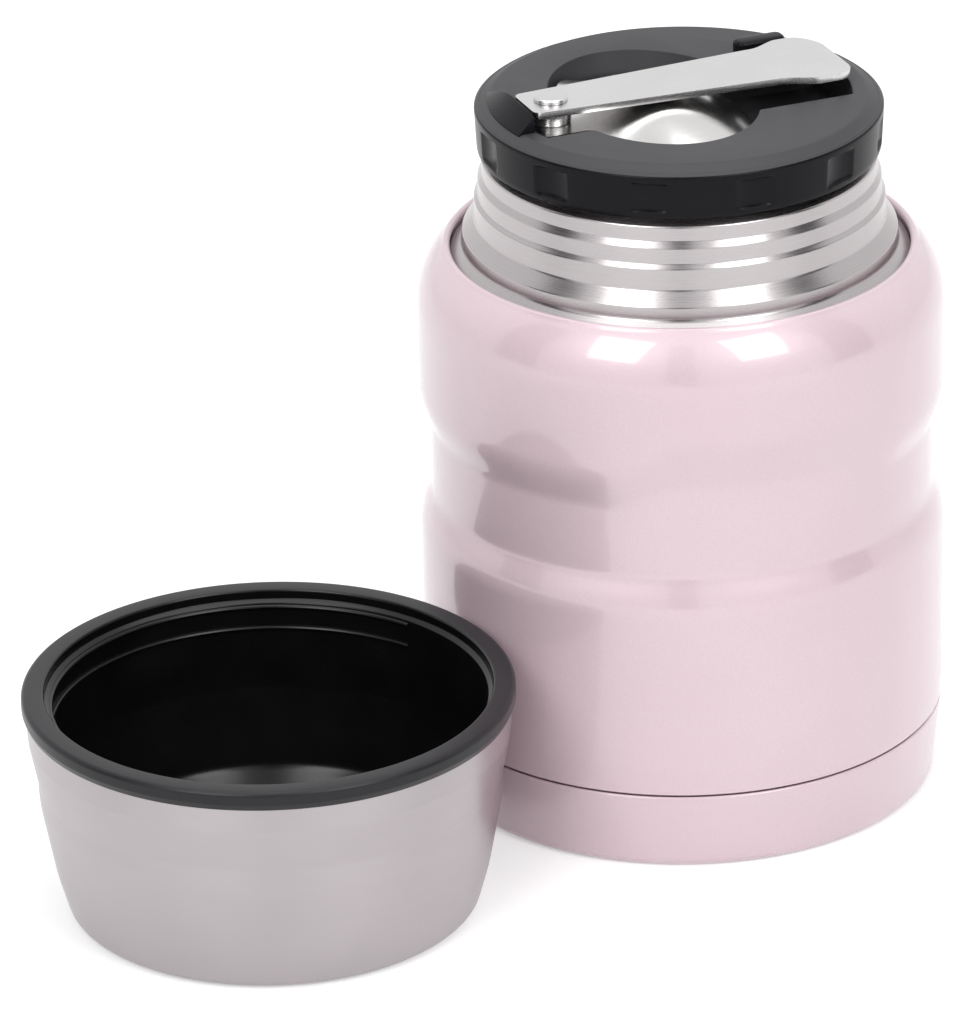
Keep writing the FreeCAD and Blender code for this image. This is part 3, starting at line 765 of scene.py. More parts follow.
class RidgeTree:
    """A geometry node tree that lays a ridge along a helix."""

    INPUTS = ("Radius", "Lead", "Start", "Sweep", "Base", "Height", "Width")

    def __init__(self) -> None:
        """Builds the tree with its named inputs."""
        self.tree = bpy.data.node_groups.new("helical_ridge", "GeometryNodeTree")
        face = self.tree.interface
        face.new_socket("Geometry", in_out="INPUT", socket_type="NodeSocketGeometry")
        face.new_socket("Geometry", in_out="OUTPUT", socket_type="NodeSocketGeometry")
        for name in self.INPUTS:
            face.new_socket(name, in_out="INPUT", socket_type="NodeSocketFloat")
        face.new_socket("Steps", in_out="INPUT", socket_type="NodeSocketInt")
        face.new_socket("Centre", in_out="INPUT", socket_type="NodeSocketVector")
        face.new_socket("Material", in_out="INPUT", socket_type="NodeSocketMaterial")
        self._wire()

    def _node(self, kind: str, settings: dict, inputs: dict) -> bpy.types.Node:
        """Adds a node with its settings, and its inputs as values or output sockets."""
        node = self.tree.nodes.new(kind)
        for key, value in settings.items():
            setattr(node, key, value)
        for key, value in inputs.items():
            if isinstance(value, bpy.types.NodeSocket):
                self.tree.links.new(value, node.inputs[key])
            else:
                node.inputs[key].default_value = value
        return node

    def _math(self, operation: str, *values: bpy.types.NodeSocket | float) -> bpy.types.NodeSocket:
        """The result of one Math node."""
        return self._node("ShaderNodeMath", {"operation": operation}, dict(enumerate(values))).outputs[0]

    def _wire(self) -> None:
        """Lays the tree's nodes: a line bent into a helix, with a ridge section along it."""
        given = self._node("NodeGroupInput", {}, {}).outputs
        line = self._node("GeometryNodeCurvePrimitiveLine", {}, {})
        stepped = {"Curve": line.outputs[0], "Count": given["Steps"]}
        fine = self._node("GeometryNodeResampleCurve", {}, stepped)
        share = self._node("GeometryNodeSplineParameter", {}, {}).outputs["Factor"]
        turned = self._math("MULTIPLY", share, given["Sweep"])
        angle = self._math("ADD", turned, given["Start"])
        x = self._math("MULTIPLY", self._math("COSINE", angle), given["Radius"])
        y = self._math("MULTIPLY", self._math("SINE", angle), given["Radius"])
        turns = self._math("DIVIDE", turned, math.tau)
        z = self._math("ADD", self._math("MULTIPLY", turns, given["Lead"]), given["Base"])
        spot = self._node("ShaderNodeCombineXYZ", {}, {0: x, 1: y, 2: z}).outputs[0]
        from_centre = {0: spot, 1: given["Centre"]}
        spot = self._node("ShaderNodeVectorMath", {"operation": "ADD"}, from_centre).outputs[0]
        helix = self._node("GeometryNodeSetPosition", {}, {"Geometry": fine.outputs[0], "Position": spot})
        level = self._node("GeometryNodeSetCurveNormal", {"mode": "Z_UP"}, {"Curve": helix.outputs[0]})
        ends = self._math("MULTIPLY", share, self._math("SUBTRACT", 1.0, share))
        taper = self._math("MINIMUM", self._math("ADD", self._math("MULTIPLY", ends, 40.0), 0.25), 1.0)
        scaled = self._node("GeometryNodeSetCurveRadius", {}, {"Curve": level.outputs[0], "Radius": taper})
        ring = self._node("GeometryNodeCurvePrimitiveCircle", {}, {"Resolution": 12, "Radius": 1.0})
        half_width = self._math("MULTIPLY", given["Width"], 0.5)
        size = self._node("ShaderNodeCombineXYZ", {}, {0: given["Height"], 1: half_width, 2: 1.0}).outputs[0]
        section = self._node("GeometryNodeTransform", {}, {"Geometry": ring.outputs[0], "Scale": size})
        ridge = self._node(
            "GeometryNodeCurveToMesh",
            {},
            {"Curve": scaled.outputs[0], "Profile Curve": section.outputs[0], "Fill Caps": True},
        )
        real = self._node("GeometryNodeRealizeInstances", {}, {"Geometry": ridge.outputs[0]})
        smooth_ridge = self._node("GeometryNodeSetShadeSmooth", {}, {"Geometry": real.outputs[0]})
        dressed = self._node(
            "GeometryNodeSetMaterial",
            {},
            {"Geometry": smooth_ridge.outputs[0], "Material": given["Material"]},
        )
        self._node("NodeGroupOutput", {}, {"Geometry": dressed.outputs[0]})

    def lay(
        self, name: str, material: bpy.types.Material, steps: int, centre: Point, **sizes: float
    ) -> bpy.types.Object:
        """Lays one ridge.

        Args:
            name: The piece's name.
            material: Its finish.
            steps: Points along the helix.
            centre: Where the helix's axis stands, in millimetres.
            sizes: The tree's other inputs in lower case, in millimetres and degrees.

        Returns:
            The ridge as a plain mesh object.
        """
        obj = linked(name, bpy.data.meshes.new(name))
        modifier = obj.modifiers.new("ridge", "NODES")
        modifier.node_group = self.tree
        items = self.tree.interface.items_tree
        keys = {item.name: item.identifier for item in items if item.in_out == "INPUT"}
        for size, value in sizes.items():
            angular = size in ("start", "sweep")
            modifier[keys[size.capitalize()]] = math.radians(value) if angular else value * MM
        modifier[keys["Steps"]] = steps
        modifier[keys["Centre"]] = (centre[0] * MM, centre[1] * MM, 0.0)
        modifier[keys["Material"]] = material
        settle(obj, 40.0)
        dress(obj, material)
        return obj


# Jar

@dataclass
class Jar:
    """The jar: painted shell and base cap, bare steel neck and food vessel."""

    finishes: Finishes
    ridges: RidgeTree
    body_radius: float = 47.05
    waist_radius: float = 45.0
    wall: float = 0.6
    seam_height: float = 14.4
    seam_radius: float = 46.85
    seam_gap: float = 0.45
    lower_ledge: float = 51.2
    lower_rise: float = 4.8
    upper_ledge: float = 69.4
    upper_rise: float = 5.6
    panel_azimuth: float = 290.0
    panel_half: float = 20.0
    panel_ramp: float = 17.0
    panel_rise: float = 5.5
    panel_softness: float = 3.0
    skirt_radius: float = 45.1
    sheet: float = 0.5
    lip_height: float = 127.0
    mouth_radius: float = 31.9
    thread_radius: float = 33.0
    thread_lead: float = 12.0

    def panel_share(self, azimuth: float) -> float:
        """How far the ledge has risen at an azimuth: 1 over the panel, 0 away from it."""
        away = abs((azimuth - self.panel_azimuth + 180) % 360 - 180) - self.panel_half
        return smooth(1 - away / self.panel_ramp)

    def shell_outline(self, azimuth: float) -> list[Point]:
        """The shell's closed section at an azimuth.

        Args:
            azimuth: Direction in degrees.

        Returns:
            The section's points.
        """
        share = self.panel_share(azimuth)
        ledge = self.upper_ledge + self.panel_rise * share
        soft = self.panel_softness * share
        joggle = self.seam_height + self.seam_gap
        skin = rounded((
            (self.skirt_radius, 3.4),
            (self.skirt_radius, joggle - 0.3),
            (self.seam_radius, joggle, 0.25),
            (self.body_radius, 20.0, 30.0),
            (self.body_radius, self.lower_ledge, 14.0),
            (self.waist_radius, self.lower_ledge + self.lower_rise, 6.0),
            (self.waist_radius, ledge - soft / 2, 6.0 + soft),
            (self.body_radius, ledge + soft / 2 + self.upper_rise, 14.0),
            (self.body_radius, 91.0),
            ((45.75, 97.2), (42.3, 102.05)),
            ((41.4, 102.4), (41.0, 101.5)),
            (41.0, 98.65),
        ), 10, 18)
        return sheet(skin, self.wall)

    def build_shell(self) -> None:
        """Builds the painted shell and the base cap under its seam."""
        shell = lathe("painted_shell", self.shell_outline, 360, sharp=50.0)
        dress(shell, self.finishes.paint)
        place(shell, Body.JAR, Slot.PAINT, "outer_shell")
        skin = rounded((
            (0.0, 1.6),
            (34.0, 1.6, 1.0),
            (35.6, 0.0, 1.0),
            (45.5, 0.0, 1.9),
            (self.seam_radius - 0.03, self.seam_height - 0.25, 0.25),
            (self.seam_radius - 0.3, self.seam_height),
        ), 8)
        cap = lathe("painted_base_cap", sheet(skin, self.wall), 288, sharp=50.0)
        dress(cap, self.finishes.paint)
        place(cap, Body.JAR, Slot.PAINT, "base_cap")

    def build_neck(self) -> None:
        """Builds the bare steel neck and the vessel whose lip closes over it."""
        skin = rounded((
            (40.95, 97.25),
            (40.95, 100.85, 0.5),
            (38.7, 102.5, 1.0),
            (38.7, 104.9, 0.5),
            (36.6, 107.3, 0.8),
            (36.5, 111.2, 0.4),
            (35.9, 112.0, 0.4),
            (35.8, 114.8, 0.6),
            (35.1, 116.0, 0.6),
            (35.1, 118.6, 0.5),
            (self.thread_radius, 119.6, 0.8),
            (self.thread_radius, self.lip_height - 0.55),
        ), 8)
        neck = lathe("turned_neck", sheet(skin, self.sheet), 288)
        dress(neck, self.finishes.neck)
        place(neck, Body.JAR, Slot.NECK, "neck_collar")
        outside = self.mouth_radius + self.sheet
        skin = rounded((
            (0.0, 9.5),
            (39.7, 9.5, 6.0),
            (39.7, 92.5, 9.0),
            (outside, 101.5, 4.0),
            (outside, self.lip_height - self.sheet),
            (self.thread_radius, self.lip_height - self.sheet),
        ), 10)
        vessel = lathe("food_vessel", sheet(skin, self.sheet), 256)
        dress(vessel, self.finishes.bright)
        place(vessel, Body.JAR, Slot.BRIGHT, "inner_vessel")

    def build_thread(self) -> None:
        """Lays the two starts of the rolled thread that the stopper screws on."""
        for start in range(2):
            ridge = self.ridges.lay(
                f"mouth_thread_{start + 1}", self.finishes.neck, 60, (0.0, 0.0),
                radius=self.thread_radius, lead=self.thread_lead, start=180.0 * start, sweep=120.0,
                base=121.2, height=0.75, width=1.6,
            )
            place(ridge, Body.JAR, Slot.NECK)

    def dress_hidden(self, nodes: dict[str, bpy.types.Object]) -> None:
        """Gives the nodes inside the vacuum their finishes.

        Args:
            nodes: The frame's nodes by name.
        """
        dress(nodes["outer_bottom"], self.finishes.inner)
        dress(nodes["vacuum_seal_bead"], self.finishes.solder)
        dress(nodes["heat_shield_foil"], self.finishes.foil)
        dress(nodes["getter_pill"], self.finishes.getter)


# Stopper

@dataclass
class Stopper:
    """The stopper: moulded cap with a recess for the spoon, plug and sealing ring."""

    finishes: Finishes
    ridges: RidgeTree
    azimuth: float = 23.6
    deck: float = 129.7
    flat_radius: float = 33.3
    edge_radius: float = 36.2
    foot_radius: float = 35.8
    foot: float = 120.3
    bore: float = 34.5
    spigot_radius: float = 31.4
    scallops: int = 12
    scallop_start: float = -2.1
    scallop_width: float = 7.5
    scallop_depth: float = 0.7
    scallop_low: float = 121.4
    scallop_high: float = 127.0
    scallop_foot_fade: float = 0.5
    scallop_top_fade: float = 0.35
    recess_centre: Point = (-4.5, 0.9)
    recess_half: Point = (17.6, 23.8)
    floor: float = 123.3
    slot_floor: float = 126.1
    reach: float = 30.6

    def skirt_radius(self, height: float, radius: float, azimuth: float) -> float:
        """The skirt's radius where a finger scallop may cut it.

        Args:
            height: Height on the skirt.
            radius: Its radius without scallops.
            azimuth: Direction in degrees.

        Returns:
            The radius.
        """
        pitch = 360.0 / self.scallops
        off = (azimuth - self.azimuth - self.scallop_start + pitch / 2) % pitch - pitch / 2
        across = math.radians(off) * radius
        dip = self.scallop_depth * (1 - (2 * across / self.scallop_width) ** 2)
        low = smooth((height - self.scallop_low) / self.scallop_foot_fade)
        high = smooth((self.scallop_high - height) / self.scallop_top_fade)
        return radius - max(dip, 0.0) * low * high

    def cap_outline(self, azimuth: float) -> list[Point]:
        """The cap's closed section at an azimuth, without its recess.

        Args:
            azimuth: Direction in degrees.

        Returns:
            The section's points.
        """
        rows = [self.scallop_low + (self.scallop_high - self.scallop_low) * row / 28 for row in range(29)]
        slope = (self.edge_radius - self.foot_radius) / (self.deck - 1.5 - self.foot)
        skirt = [(self.foot_radius + slope * (row - self.foot), row) for row in rows]
        skirt = [(self.skirt_radius(height, radius, azimuth), height) for radius, height in skirt]
        inside = rounded((
            (0.0, 122.1),
            (self.spigot_radius - 1.4, 122.1),
            (self.spigot_radius - 1.4, 119.0),
            (self.spigot_radius, 119.0),
            (self.spigot_radius, self.deck - 1.3),
            (self.bore, self.deck - 1.3),
            (self.bore, self.foot + 0.4),
            (self.bore + 0.4, self.foot),
            (self.foot_radius - 0.4, self.foot),
            (self.foot_radius - 0.1, self.foot + 0.15),
            (self.foot_radius, self.foot + 0.5),
        ))
        top = rounded((
            (self.edge_radius - 0.03, 127.3),
            (self.edge_radius, self.deck - 1.55, 0.5),
            (self.edge_radius - 0.75, self.deck - 1.0, 0.25),
            (self.edge_radius - 0.95, self.deck - 1.05, 0.15),
            (self.flat_radius, self.deck, 1.6),
            (self.flat_radius - 1.5, self.deck),
        ), 6)
        return inside + skirt + top

    def plan(self, points: list[Point]) -> list[Point]:
        """Plan points in the stopper's directions, turned to their place."""
        return about_axis(points, self.azimuth)

    def bowl_plan(self) -> list[Point]:
        """Plan of the recess for the spoon's bowl."""
        turns = [math.tau * step / 128 for step in range(128)]
        (u, v), (a, b) = self.recess_centre, self.recess_half
        return self.plan([(u + a * math.cos(t), v + b * math.sin(t)) for t in turns])

    def bounded(self, u_low: float, u_high: float, v_low: float, v_high: float) -> list[Point]:
        """Plan of a straight-sided hollow that ends at the spigot's wall.

        Args:
            u_low: Its inner or outer end along the spoon.
            u_high: The other end; the end past the wall is an arc.
            v_low: Its near side.
            v_high: Its far side.

        Returns:
            The plan's points.
        """
        sign = 1.0 if u_high > self.reach else -1.0
        straight = u_low if sign > 0 else u_high
        first, last = math.asin(v_low / self.reach), math.asin(v_high / self.reach)
        arc = [first + (last - first) * step / 24 for step in range(25)]
        points = [(straight, v_low)]
        points += [(sign * self.reach * math.cos(a), self.reach * math.sin(a)) for a in arc]
        points.append((straight, v_high))
        return self.plan(points if sign > 0 else points[::-1])

    def build_cap(self) -> None:
        """Builds the moulded cap with its recess, soft edges and two surfaces: a lit deck, and sides in a
        darker copy of its plastic that paints shade on them.
        """
        outline = self.cap_outline(0.0)
        count = len(outline)
        segments = 720
        vertices, faces = [], []
        for segment in range(segments):
            azimuth = 360.0 * segment / segments
            turn = math.radians(azimuth)
            ring = self.cap_outline(azimuth)
            vertices += [(r * math.cos(turn), r * math.sin(turn), z) for r, z in ring]
        for segment in range(segments):
            here, there = segment * count, (segment + 1) % segments * count
            faces += [(here + p, there + p, there + p + 1, here + p + 1) for p in range(1, count - 1)]
        faces.append([segment * count + count - 1 for segment in range(segments)])
        faces.append([segment * count + 1 for segment in reversed(range(segments))])
        cap = mesh_object("stopper_cap_moulding", vertices, faces)
        cutters = [
            prism("bowl_cutter", self.bowl_plan(), self.floor, self.deck + 5),
            prism("slot_cutter", self.bounded(-40.0, -5.0, -9.6, 9.6), self.slot_floor, self.deck + 5),
            prism("pocket_cutter", self.bounded(8.0, 40.0, -13.0, 8.0), self.floor, self.deck + 5),
        ]
        cut(cap, cutters)
        inside = self.flat_radius - 1.0

        def recess_edge(a: Vector, b: Vector) -> bool:
            """Whether an edge belongs to the recess."""
            low = min(a.z, b.z) > self.floor - 0.1
            return low and a.xy.length < inside and b.xy.length < inside

        soften(cap, 0.45, recess_edge)
        # Faces on the sides and foot take the darker copy of the plastic, painted shade; the deck keeps the
        # lighter plastic.
        dress(cap, self.finishes.deck, self.finishes.skirt)
        for face in cap.data.polygons:
            spot = face.center / MM
            face.material_index = int(spot.z < self.deck - 1.25 and spot.xy.length > inside)
        place(cap, Body.STOPPER, Slot.STOPPER, "stopper_cap")

    def build_catches(self) -> None:
        """Builds the ridge behind the spoon's pivot and the nib beside its handle."""
        foot, top, inside, outside = self.deck - 0.3, 133.0, 24.0, self.flat_radius + 0.6
        outline = rounded((
            (inside, foot),
            (outside, foot),
            (outside, self.deck - 0.1),
            (self.reach, top, 0.8),
            (inside, top),
        ), 6)
        ridge = lathe("stopper_catch", outline, 360)
        corners = [(-40.0, -6.5), (-30.3, -6.5), (-30.3, 20.0), (-40.0, 20.0)]
        cut(ridge, [prism("catch_bounds", self.plan(corners), 120.0, 140.0)], "INTERSECT")
        soften(ridge, 0.45, lambda a, b: min(a.z, b.z) > self.deck + 0.1)
        # The ridge takes the skirt's darker copy of the plastic, painted shade, though it stands on the
        # deck.
        dress(ridge, self.finishes.skirt)
        place(ridge, Body.STOPPER, Slot.STOPPER)
        nib = prism("stopper_nib", self._rounded_box(16.5, 26.0, 11.0, 14.6, 1.4), self.deck - 0.3, 132.5)
        soften(nib, 0.7, lambda a, b: min(a.z, b.z) > 132.4, 4)
        # The nib also takes the darker copy of the plastic: painted shade.
        dress(nib, self.finishes.skirt)
        place(nib, Body.STOPPER, Slot.STOPPER)

    def _rounded_box(
        self, u_low: float, u_high: float, v_low: float, v_high: float, radius: float
    ) -> list[Point]:
        """Plan of a box with rounded corners, turned to its place."""
        middle = (u_low + u_high) / 2
        points = rounded((
            (middle, v_low), (u_high, v_low, radius), (u_high, v_high, radius),
            (u_low, v_high, radius), (u_low, v_low, radius), (middle, v_low),
        ))
        return self.plan(points[:-1])

    def build_plug(self) -> None:
        """Builds the plug under the cap and the sealing ring."""
        skin = rounded((
            (0.0, 111.5), (self.spigot_radius - 0.6, 111.5, 2.5), (self.spigot_radius, 117.0),
            (self.spigot_radius, 118.95),
        ), 8)
        plug = lathe("stopper_plug_cup", sheet(skin, 1.4), 192)
        dress(plug, self.finishes.plug)
        place(plug, Body.STOPPER, Slot.PLUG, "stopper_plug")
        ring = rounded((
            (32.6, 127.3), (33.6, 127.3, 0.3), (33.6, 128.1, 0.3), (31.7, 128.1, 0.3), (31.7, 127.3, 0.3),
            (32.6, 127.3),
        ), 4)
        seal = lathe("sealing_ring", ring[:-1], 192)
        dress(seal, self.finishes.seal)
        place(seal, Body.SEAL, Slot.SEAL, "stopper_seal")

    def build_thread(self) -> None:
        """Lays the stopper's inner thread, half a pitch above the mouth's."""
        # The ridges take the skirt's darker copy of the plastic, painted shade.
        for start in range(2):
            ridge = self.ridges.lay(
                f"stopper_thread_{start + 1}", self.finishes.skirt, 60, (0.0, 0.0), radius=self.bore,
                lead=Jar.thread_lead, start=180.0 * start - 60.0, sweep=100.0, base=121.6, height=0.6,
                width=1.4,
            )
            place(ridge, Body.STOPPER, Slot.STOPPER)


# Spoon

@dataclass
class Spoon:
    """The folding spoon: bowl face down with its neck, handle, rivet and washer."""

    finishes: Finishes
    azimuth: float = 23.6
    wall: float = 1.2
    centre: Point = (-4.5, 0.9)
    half: Point = (16.4, 22.6)
    crown: float = 131.0
    curve: float = 44.0
    neck_top: float = 128.7
    neck_half: float = 7.0
    neck_flat_end: float = -19.5
    blend_end: float = -10.0
    pivot: float = -24.5
    neck_end: float = -29.9
    handle_top: float = 132.6
    handle_end: float = 30.5
    handle_half: float = 5.0
    handle_spread: float = 2.7
    tab_start: float = 17.0
    tab_ramp: float = 6.5
    tab_flare: float = 2.05
    tab_half: float = 10.0
    tab_corner: float = 5.0
    handle_corner: float = 1.3
    neck_corner: float = 2.2
    tab_droop: float = 0.5
    handle_dish: float = 0.35

    def crest(self, u: float) -> float:
        """Height of the bowl's crest line at a place along the spoon."""
        from_centre = u - self.centre[0]
        if u >= self.blend_end:
            return self.crown - from_centre ** 2 / self.curve
        blend = self.blend_end - self.neck_flat_end
        end = self.blend_end - self.centre[0]
        height = self.crown - end ** 2 / self.curve
        slope = -2 * end / self.curve
        share = min(max((u - self.neck_flat_end) / blend, 0), 1)
        climb = (height - self.neck_top) * share ** 2 * (3 - 2 * share)
        return self.neck_top + climb + slope * blend * share ** 2 * (share - 1)

    def bowl_top(self, u: float, v: float) -> float:
        """Height of the bowl's upper skin."""
        curl = smooth((u - self.neck_flat_end) / (self.blend_end - self.neck_flat_end + 3))
        return self.crest(u) - curl * (v - self.centre[1]) ** 2 / (2 * self.curve)

    def bowl_side(self, u: float, side: float) -> float:
        """Where the bowl's outline lies across the spoon, on the far or near side."""
        share = 1 - ((u - self.centre[0]) / self.half[0]) ** 2
        oval = self.half[1] * math.sqrt(max(share, 0.0))
        root = smooth((u + 21.5) / 7.0) * 2.5
        inset = corner_inset(u - self.neck_end, self.neck_corner)
        neck = (self.neck_half - inset + root) if u < self.centre[0] - 6 else 0.0
        centre = self.centre[1] * smooth((u + 22) / 10)
        return centre + side * max(oval, neck)

    def handle_side(self, u: float, side: float) -> float:
        """Where the handle's outline lies across the spoon."""
        start = self.pivot - self.handle_half
        width = self.handle_half + self.handle_spread * (u - start) / (self.tab_start - start)
        width += self.tab_flare * smooth((u - self.tab_start) / self.tab_ramp)
        width = min(width, self.tab_half)
        width -= corner_inset(u - start, self.handle_corner)
        width -= corner_inset(self.handle_end - u, self.tab_corner)
        return side * width

    def handle_top_at(self, u: float, v: float) -> float:
        """Height of the handle's upper skin, with its soft crown and dished tab."""
        droop = self.tab_droop * smooth((u - 24.0) / 7.0) ** 2
        dish = self.handle_dish * smooth((u - 15.0) / 6.0) * (1 - (v / self.tab_half) ** 2)
        return self.handle_top - droop - dish * smooth((30.0 - u) / 4.0)

    def strip(
        self,
        name: str,
        ends: Point,
        side: Callable[[float, float], float],
        top: Callable[[float, float], float],
        rows: int,
        columns: int,
    ) -> bpy.types.Object:
        """A sheet piece laid along the spoon.

        Args:
            name: The piece's name.
            ends: Where it starts and ends along the spoon.
            side: Gives its outline across the spoon, from the place and the side.
            top: Gives the height of its upper skin.
            rows: Steps along it.
            columns: Steps across it.

        Returns:
            The sheet, with rolled edges.
        """
        start, length = ends[0], ends[1] - ends[0]
        plan, heights = [], []
        for row in range(rows + 1):
            u = start + length * (1 - math.cos(math.pi * row / rows)) / 2
            near, far = side(u, -1.0), side(u, 1.0)
            for column in range(columns + 1):
                v = near + (far - near) * (1 - math.cos(math.pi * column / columns)) / 2
                plan.append((u, v))
                heights.append(top(u, v))
        turned = about_axis(plan, self.azimuth)
        vertices = [(x, y, height) for (x, y), height in zip(turned, heights)]
        faces = []
        for row in range(rows):
            for column in range(columns):
                a = row * (columns + 1) + column
                faces.append((a, a + columns + 1, a + columns + 2, a + 1))
        obj = mesh_object(name, vertices, faces)
        if obj.data.polygons[len(obj.data.polygons) // 2].normal.z < 0:
            obj.data.flip_normals()
        thick = obj.modifiers.new("thick", "SOLIDIFY")
        thick.thickness = self.wall * MM
        thick.offset = -1.0
        settle(obj)
        return obj

    def bore(self, obj: bpy.types.Object, radius: float) -> None:
        """Cuts the rivet's hole through a sheet piece."""
        x, y = about_axis([(self.pivot, 0.0)], self.azimuth)[0]
        turns = [math.tau * step / 48 for step in range(48)]
        ring = [(x + radius * math.cos(t), y + radius * math.sin(t)) for t in turns]
        cut(obj, [prism("rivet_hole", ring, 120.0, 140.0)])

    def build_sheets(self) -> None:
        """Builds the bowl and the handle."""
        bowl_end = self.centre[0] + self.half[0]
        ends = (self.neck_end, bowl_end)
        bowl = self.strip("spoon_bowl_sheet", ends, self.bowl_side, self.bowl_top, 96, 40)
        self.bore(bowl, 1.52)
        soften(bowl, 0.35, lambda a, b: True)
        dress(bowl, self.finishes.spoon)
        place(bowl, Body.SPOON, Slot.SPOON, "spoon_bowl")
        ends = (self.pivot - self.handle_half, self.handle_end)
        handle = self.strip("spoon_handle_sheet", ends, self.handle_side, self.handle_top_at, 110, 24)
        self.bore(handle, 1.56)
        soften(handle, 0.35, lambda a, b: True, 4)
        dress(handle, self.finishes.handle)
        place(handle, Body.HANDLE, Slot.HANDLE, "spoon_handle")

    def build_rivet(self) -> None:
        """Builds the rivet and the washer that the handle swings on."""
        centre = about_axis([(self.pivot, 0.0)], self.azimuth)[0]
        head, foot = self.handle_top + 0.06, self.neck_top - self.wall - 0.03
        outline = rounded((
            (0.0, foot - 0.8), (2.4, foot - 0.8, 0.35), (2.4, foot), (1.5, foot), (1.5, head), (3.0, head),
            (3.0, head + 0.8, 0.5), (0.0, head + 0.8),
        ), 6)
        rivet = lathe("spoon_rivet_turned", outline, 64, centre)
        dress(rivet, self.finishes.handle)
        place(rivet, Body.SPOON, Slot.SPOON, "spoon_rivet")
        low, high = self.neck_top + 0.03, self.handle_top - self.wall - 0.06
        outline = rounded((
            (2.6, low), (3.6, low, 0.2), (3.6, high, 0.2), (1.53, high), (1.53, low), (2.6, low),
        ), 4)
        washer = lathe("spoon_washer_turned", outline[:-1], 64, centre)
        dress(washer, self.finishes.handle)
        place(washer, Body.SPOON, Slot.SPOON, "spoon_washer")


# Cup

@dataclass
class Cup:
    """The cup: satin steel shell over a black liner with a thick rim."""

    finishes: Finishes
    ridges: RidgeTree
    centre: Point = (-72.58, -54.892)
    height: float = 41.0
    foot: float = 34.6
    belt: float = 40.8
    shell_top: float = 42.4
    rim: float = 43.3
    bore: float = 39.3
    rim_depth: float = 3.5
    wall: float = 0.6
    stand: float = 0.25
    step: float = 0.9
    thread_height: float = 38.0

    def raised(self, points: list[Point]) -> list[Point]:
        """An outline lifted to the plane that the cup's foot is in."""
        return [(radius, height + self.stand) for radius, height in points]

    def skin(self, inset: float) -> tuple:
        """The wall's steps from foot to rim, set inwards by an amount."""
        return (
            (self.foot + 1.6 - inset, inset, 2.2),
            (38.3 - inset, 7.5, 30.0),
            (self.belt - inset, 21.0, 30.0),
            (self.belt + 0.1 - inset, 25.0, 6.0),
            (self.shell_top - inset, 33.0, 5.0),
            (self.shell_top + 0.1 - inset, self.height - self.rim_depth - 0.05),
        )

    def build_shell(self) -> None:
        """Builds the steel shell."""
        start = ((0.0, 0.8), (self.foot - 4, 0.8, 1.0), (self.foot - 2, 0.0, 1.0))
        skin = rounded((*start, *self.skin(0.0)), 10)
        shell = lathe("cup_steel_shell", self.raised(sheet(skin, self.wall)), 256, self.centre)
        dress(shell, self.finishes.cup)
        place(shell, Body.CUP, Slot.CUP, "cup_shell")

    def build_liner(self) -> None:
        """Builds the moulded liner with its rim, in two surfaces: the rim, and an inside in a darker copy of
        its plastic, painted shade.
        """
        inset, wall = self.wall + 0.1, 1.4
        rim = self.height - self.rim_depth
        bore = self.bore - self.step
        outline = rounded((
            (0.0, 1.7),
            (self.foot + 0.8 - inset, 1.7, 1.5),
            *self.skin(inset)[1:-1],
            (self.shell_top + 0.1 - inset, rim),
            (self.rim - 0.5, rim, 0.3),
            (self.rim, rim + 1.2, 0.5),
            (self.rim, self.height, 0.9),
            (self.bore, self.height, 0.5),
            (self.bore, self.height - 1.8, 0.15),
            (bore, self.height - 2.3, 0.3),
            (bore, 27.0, 6.0),
            (self.belt - inset - wall, 22.0, 6.0),
            (38.3 - inset - wall, 7.5, 4.0),
            (self.foot - inset - wall, 3.2, 3.0),
            (0.0, 3.2),
        ), 8)
        liner = lathe("cup_liner_moulding", self.raised(outline), 256, self.centre)
        # The rim's top and outer lip keep the rim's plastic; the inside takes the darker copy, painted
        # shade.
        dress(liner, self.finishes.liner, self.finishes.rim)
        for face in liner.data.polygons:
            spot = face.center / MM
            out = math.hypot(spot.x - self.centre[0], spot.y - self.centre[1])
            face.material_index = int(out > self.bore + 0.2 and spot.z > rim + self.stand - 0.1)
        place(liner, Body.CUP, Slot.LINER, "cup_liner")

    def build_thread(self) -> None:
        """Lays the two interrupted ridges of the cup's inner thread."""
        # The ridges take the liner's darker copy of the plastic, painted shade.
        for start in range(2):
            ridge = self.ridges.lay(
                f"cup_thread_{start + 1}", self.finishes.liner, 90, self.centre,
                radius=self.bore - self.step, lead=1.0, start=52.0, sweep=150.0,
                base=self.thread_height + self.stand - 4.1 * start, height=0.6, width=0.8,
            )
            place(ridge, Body.CUP, Slot.LINER)


# Studio

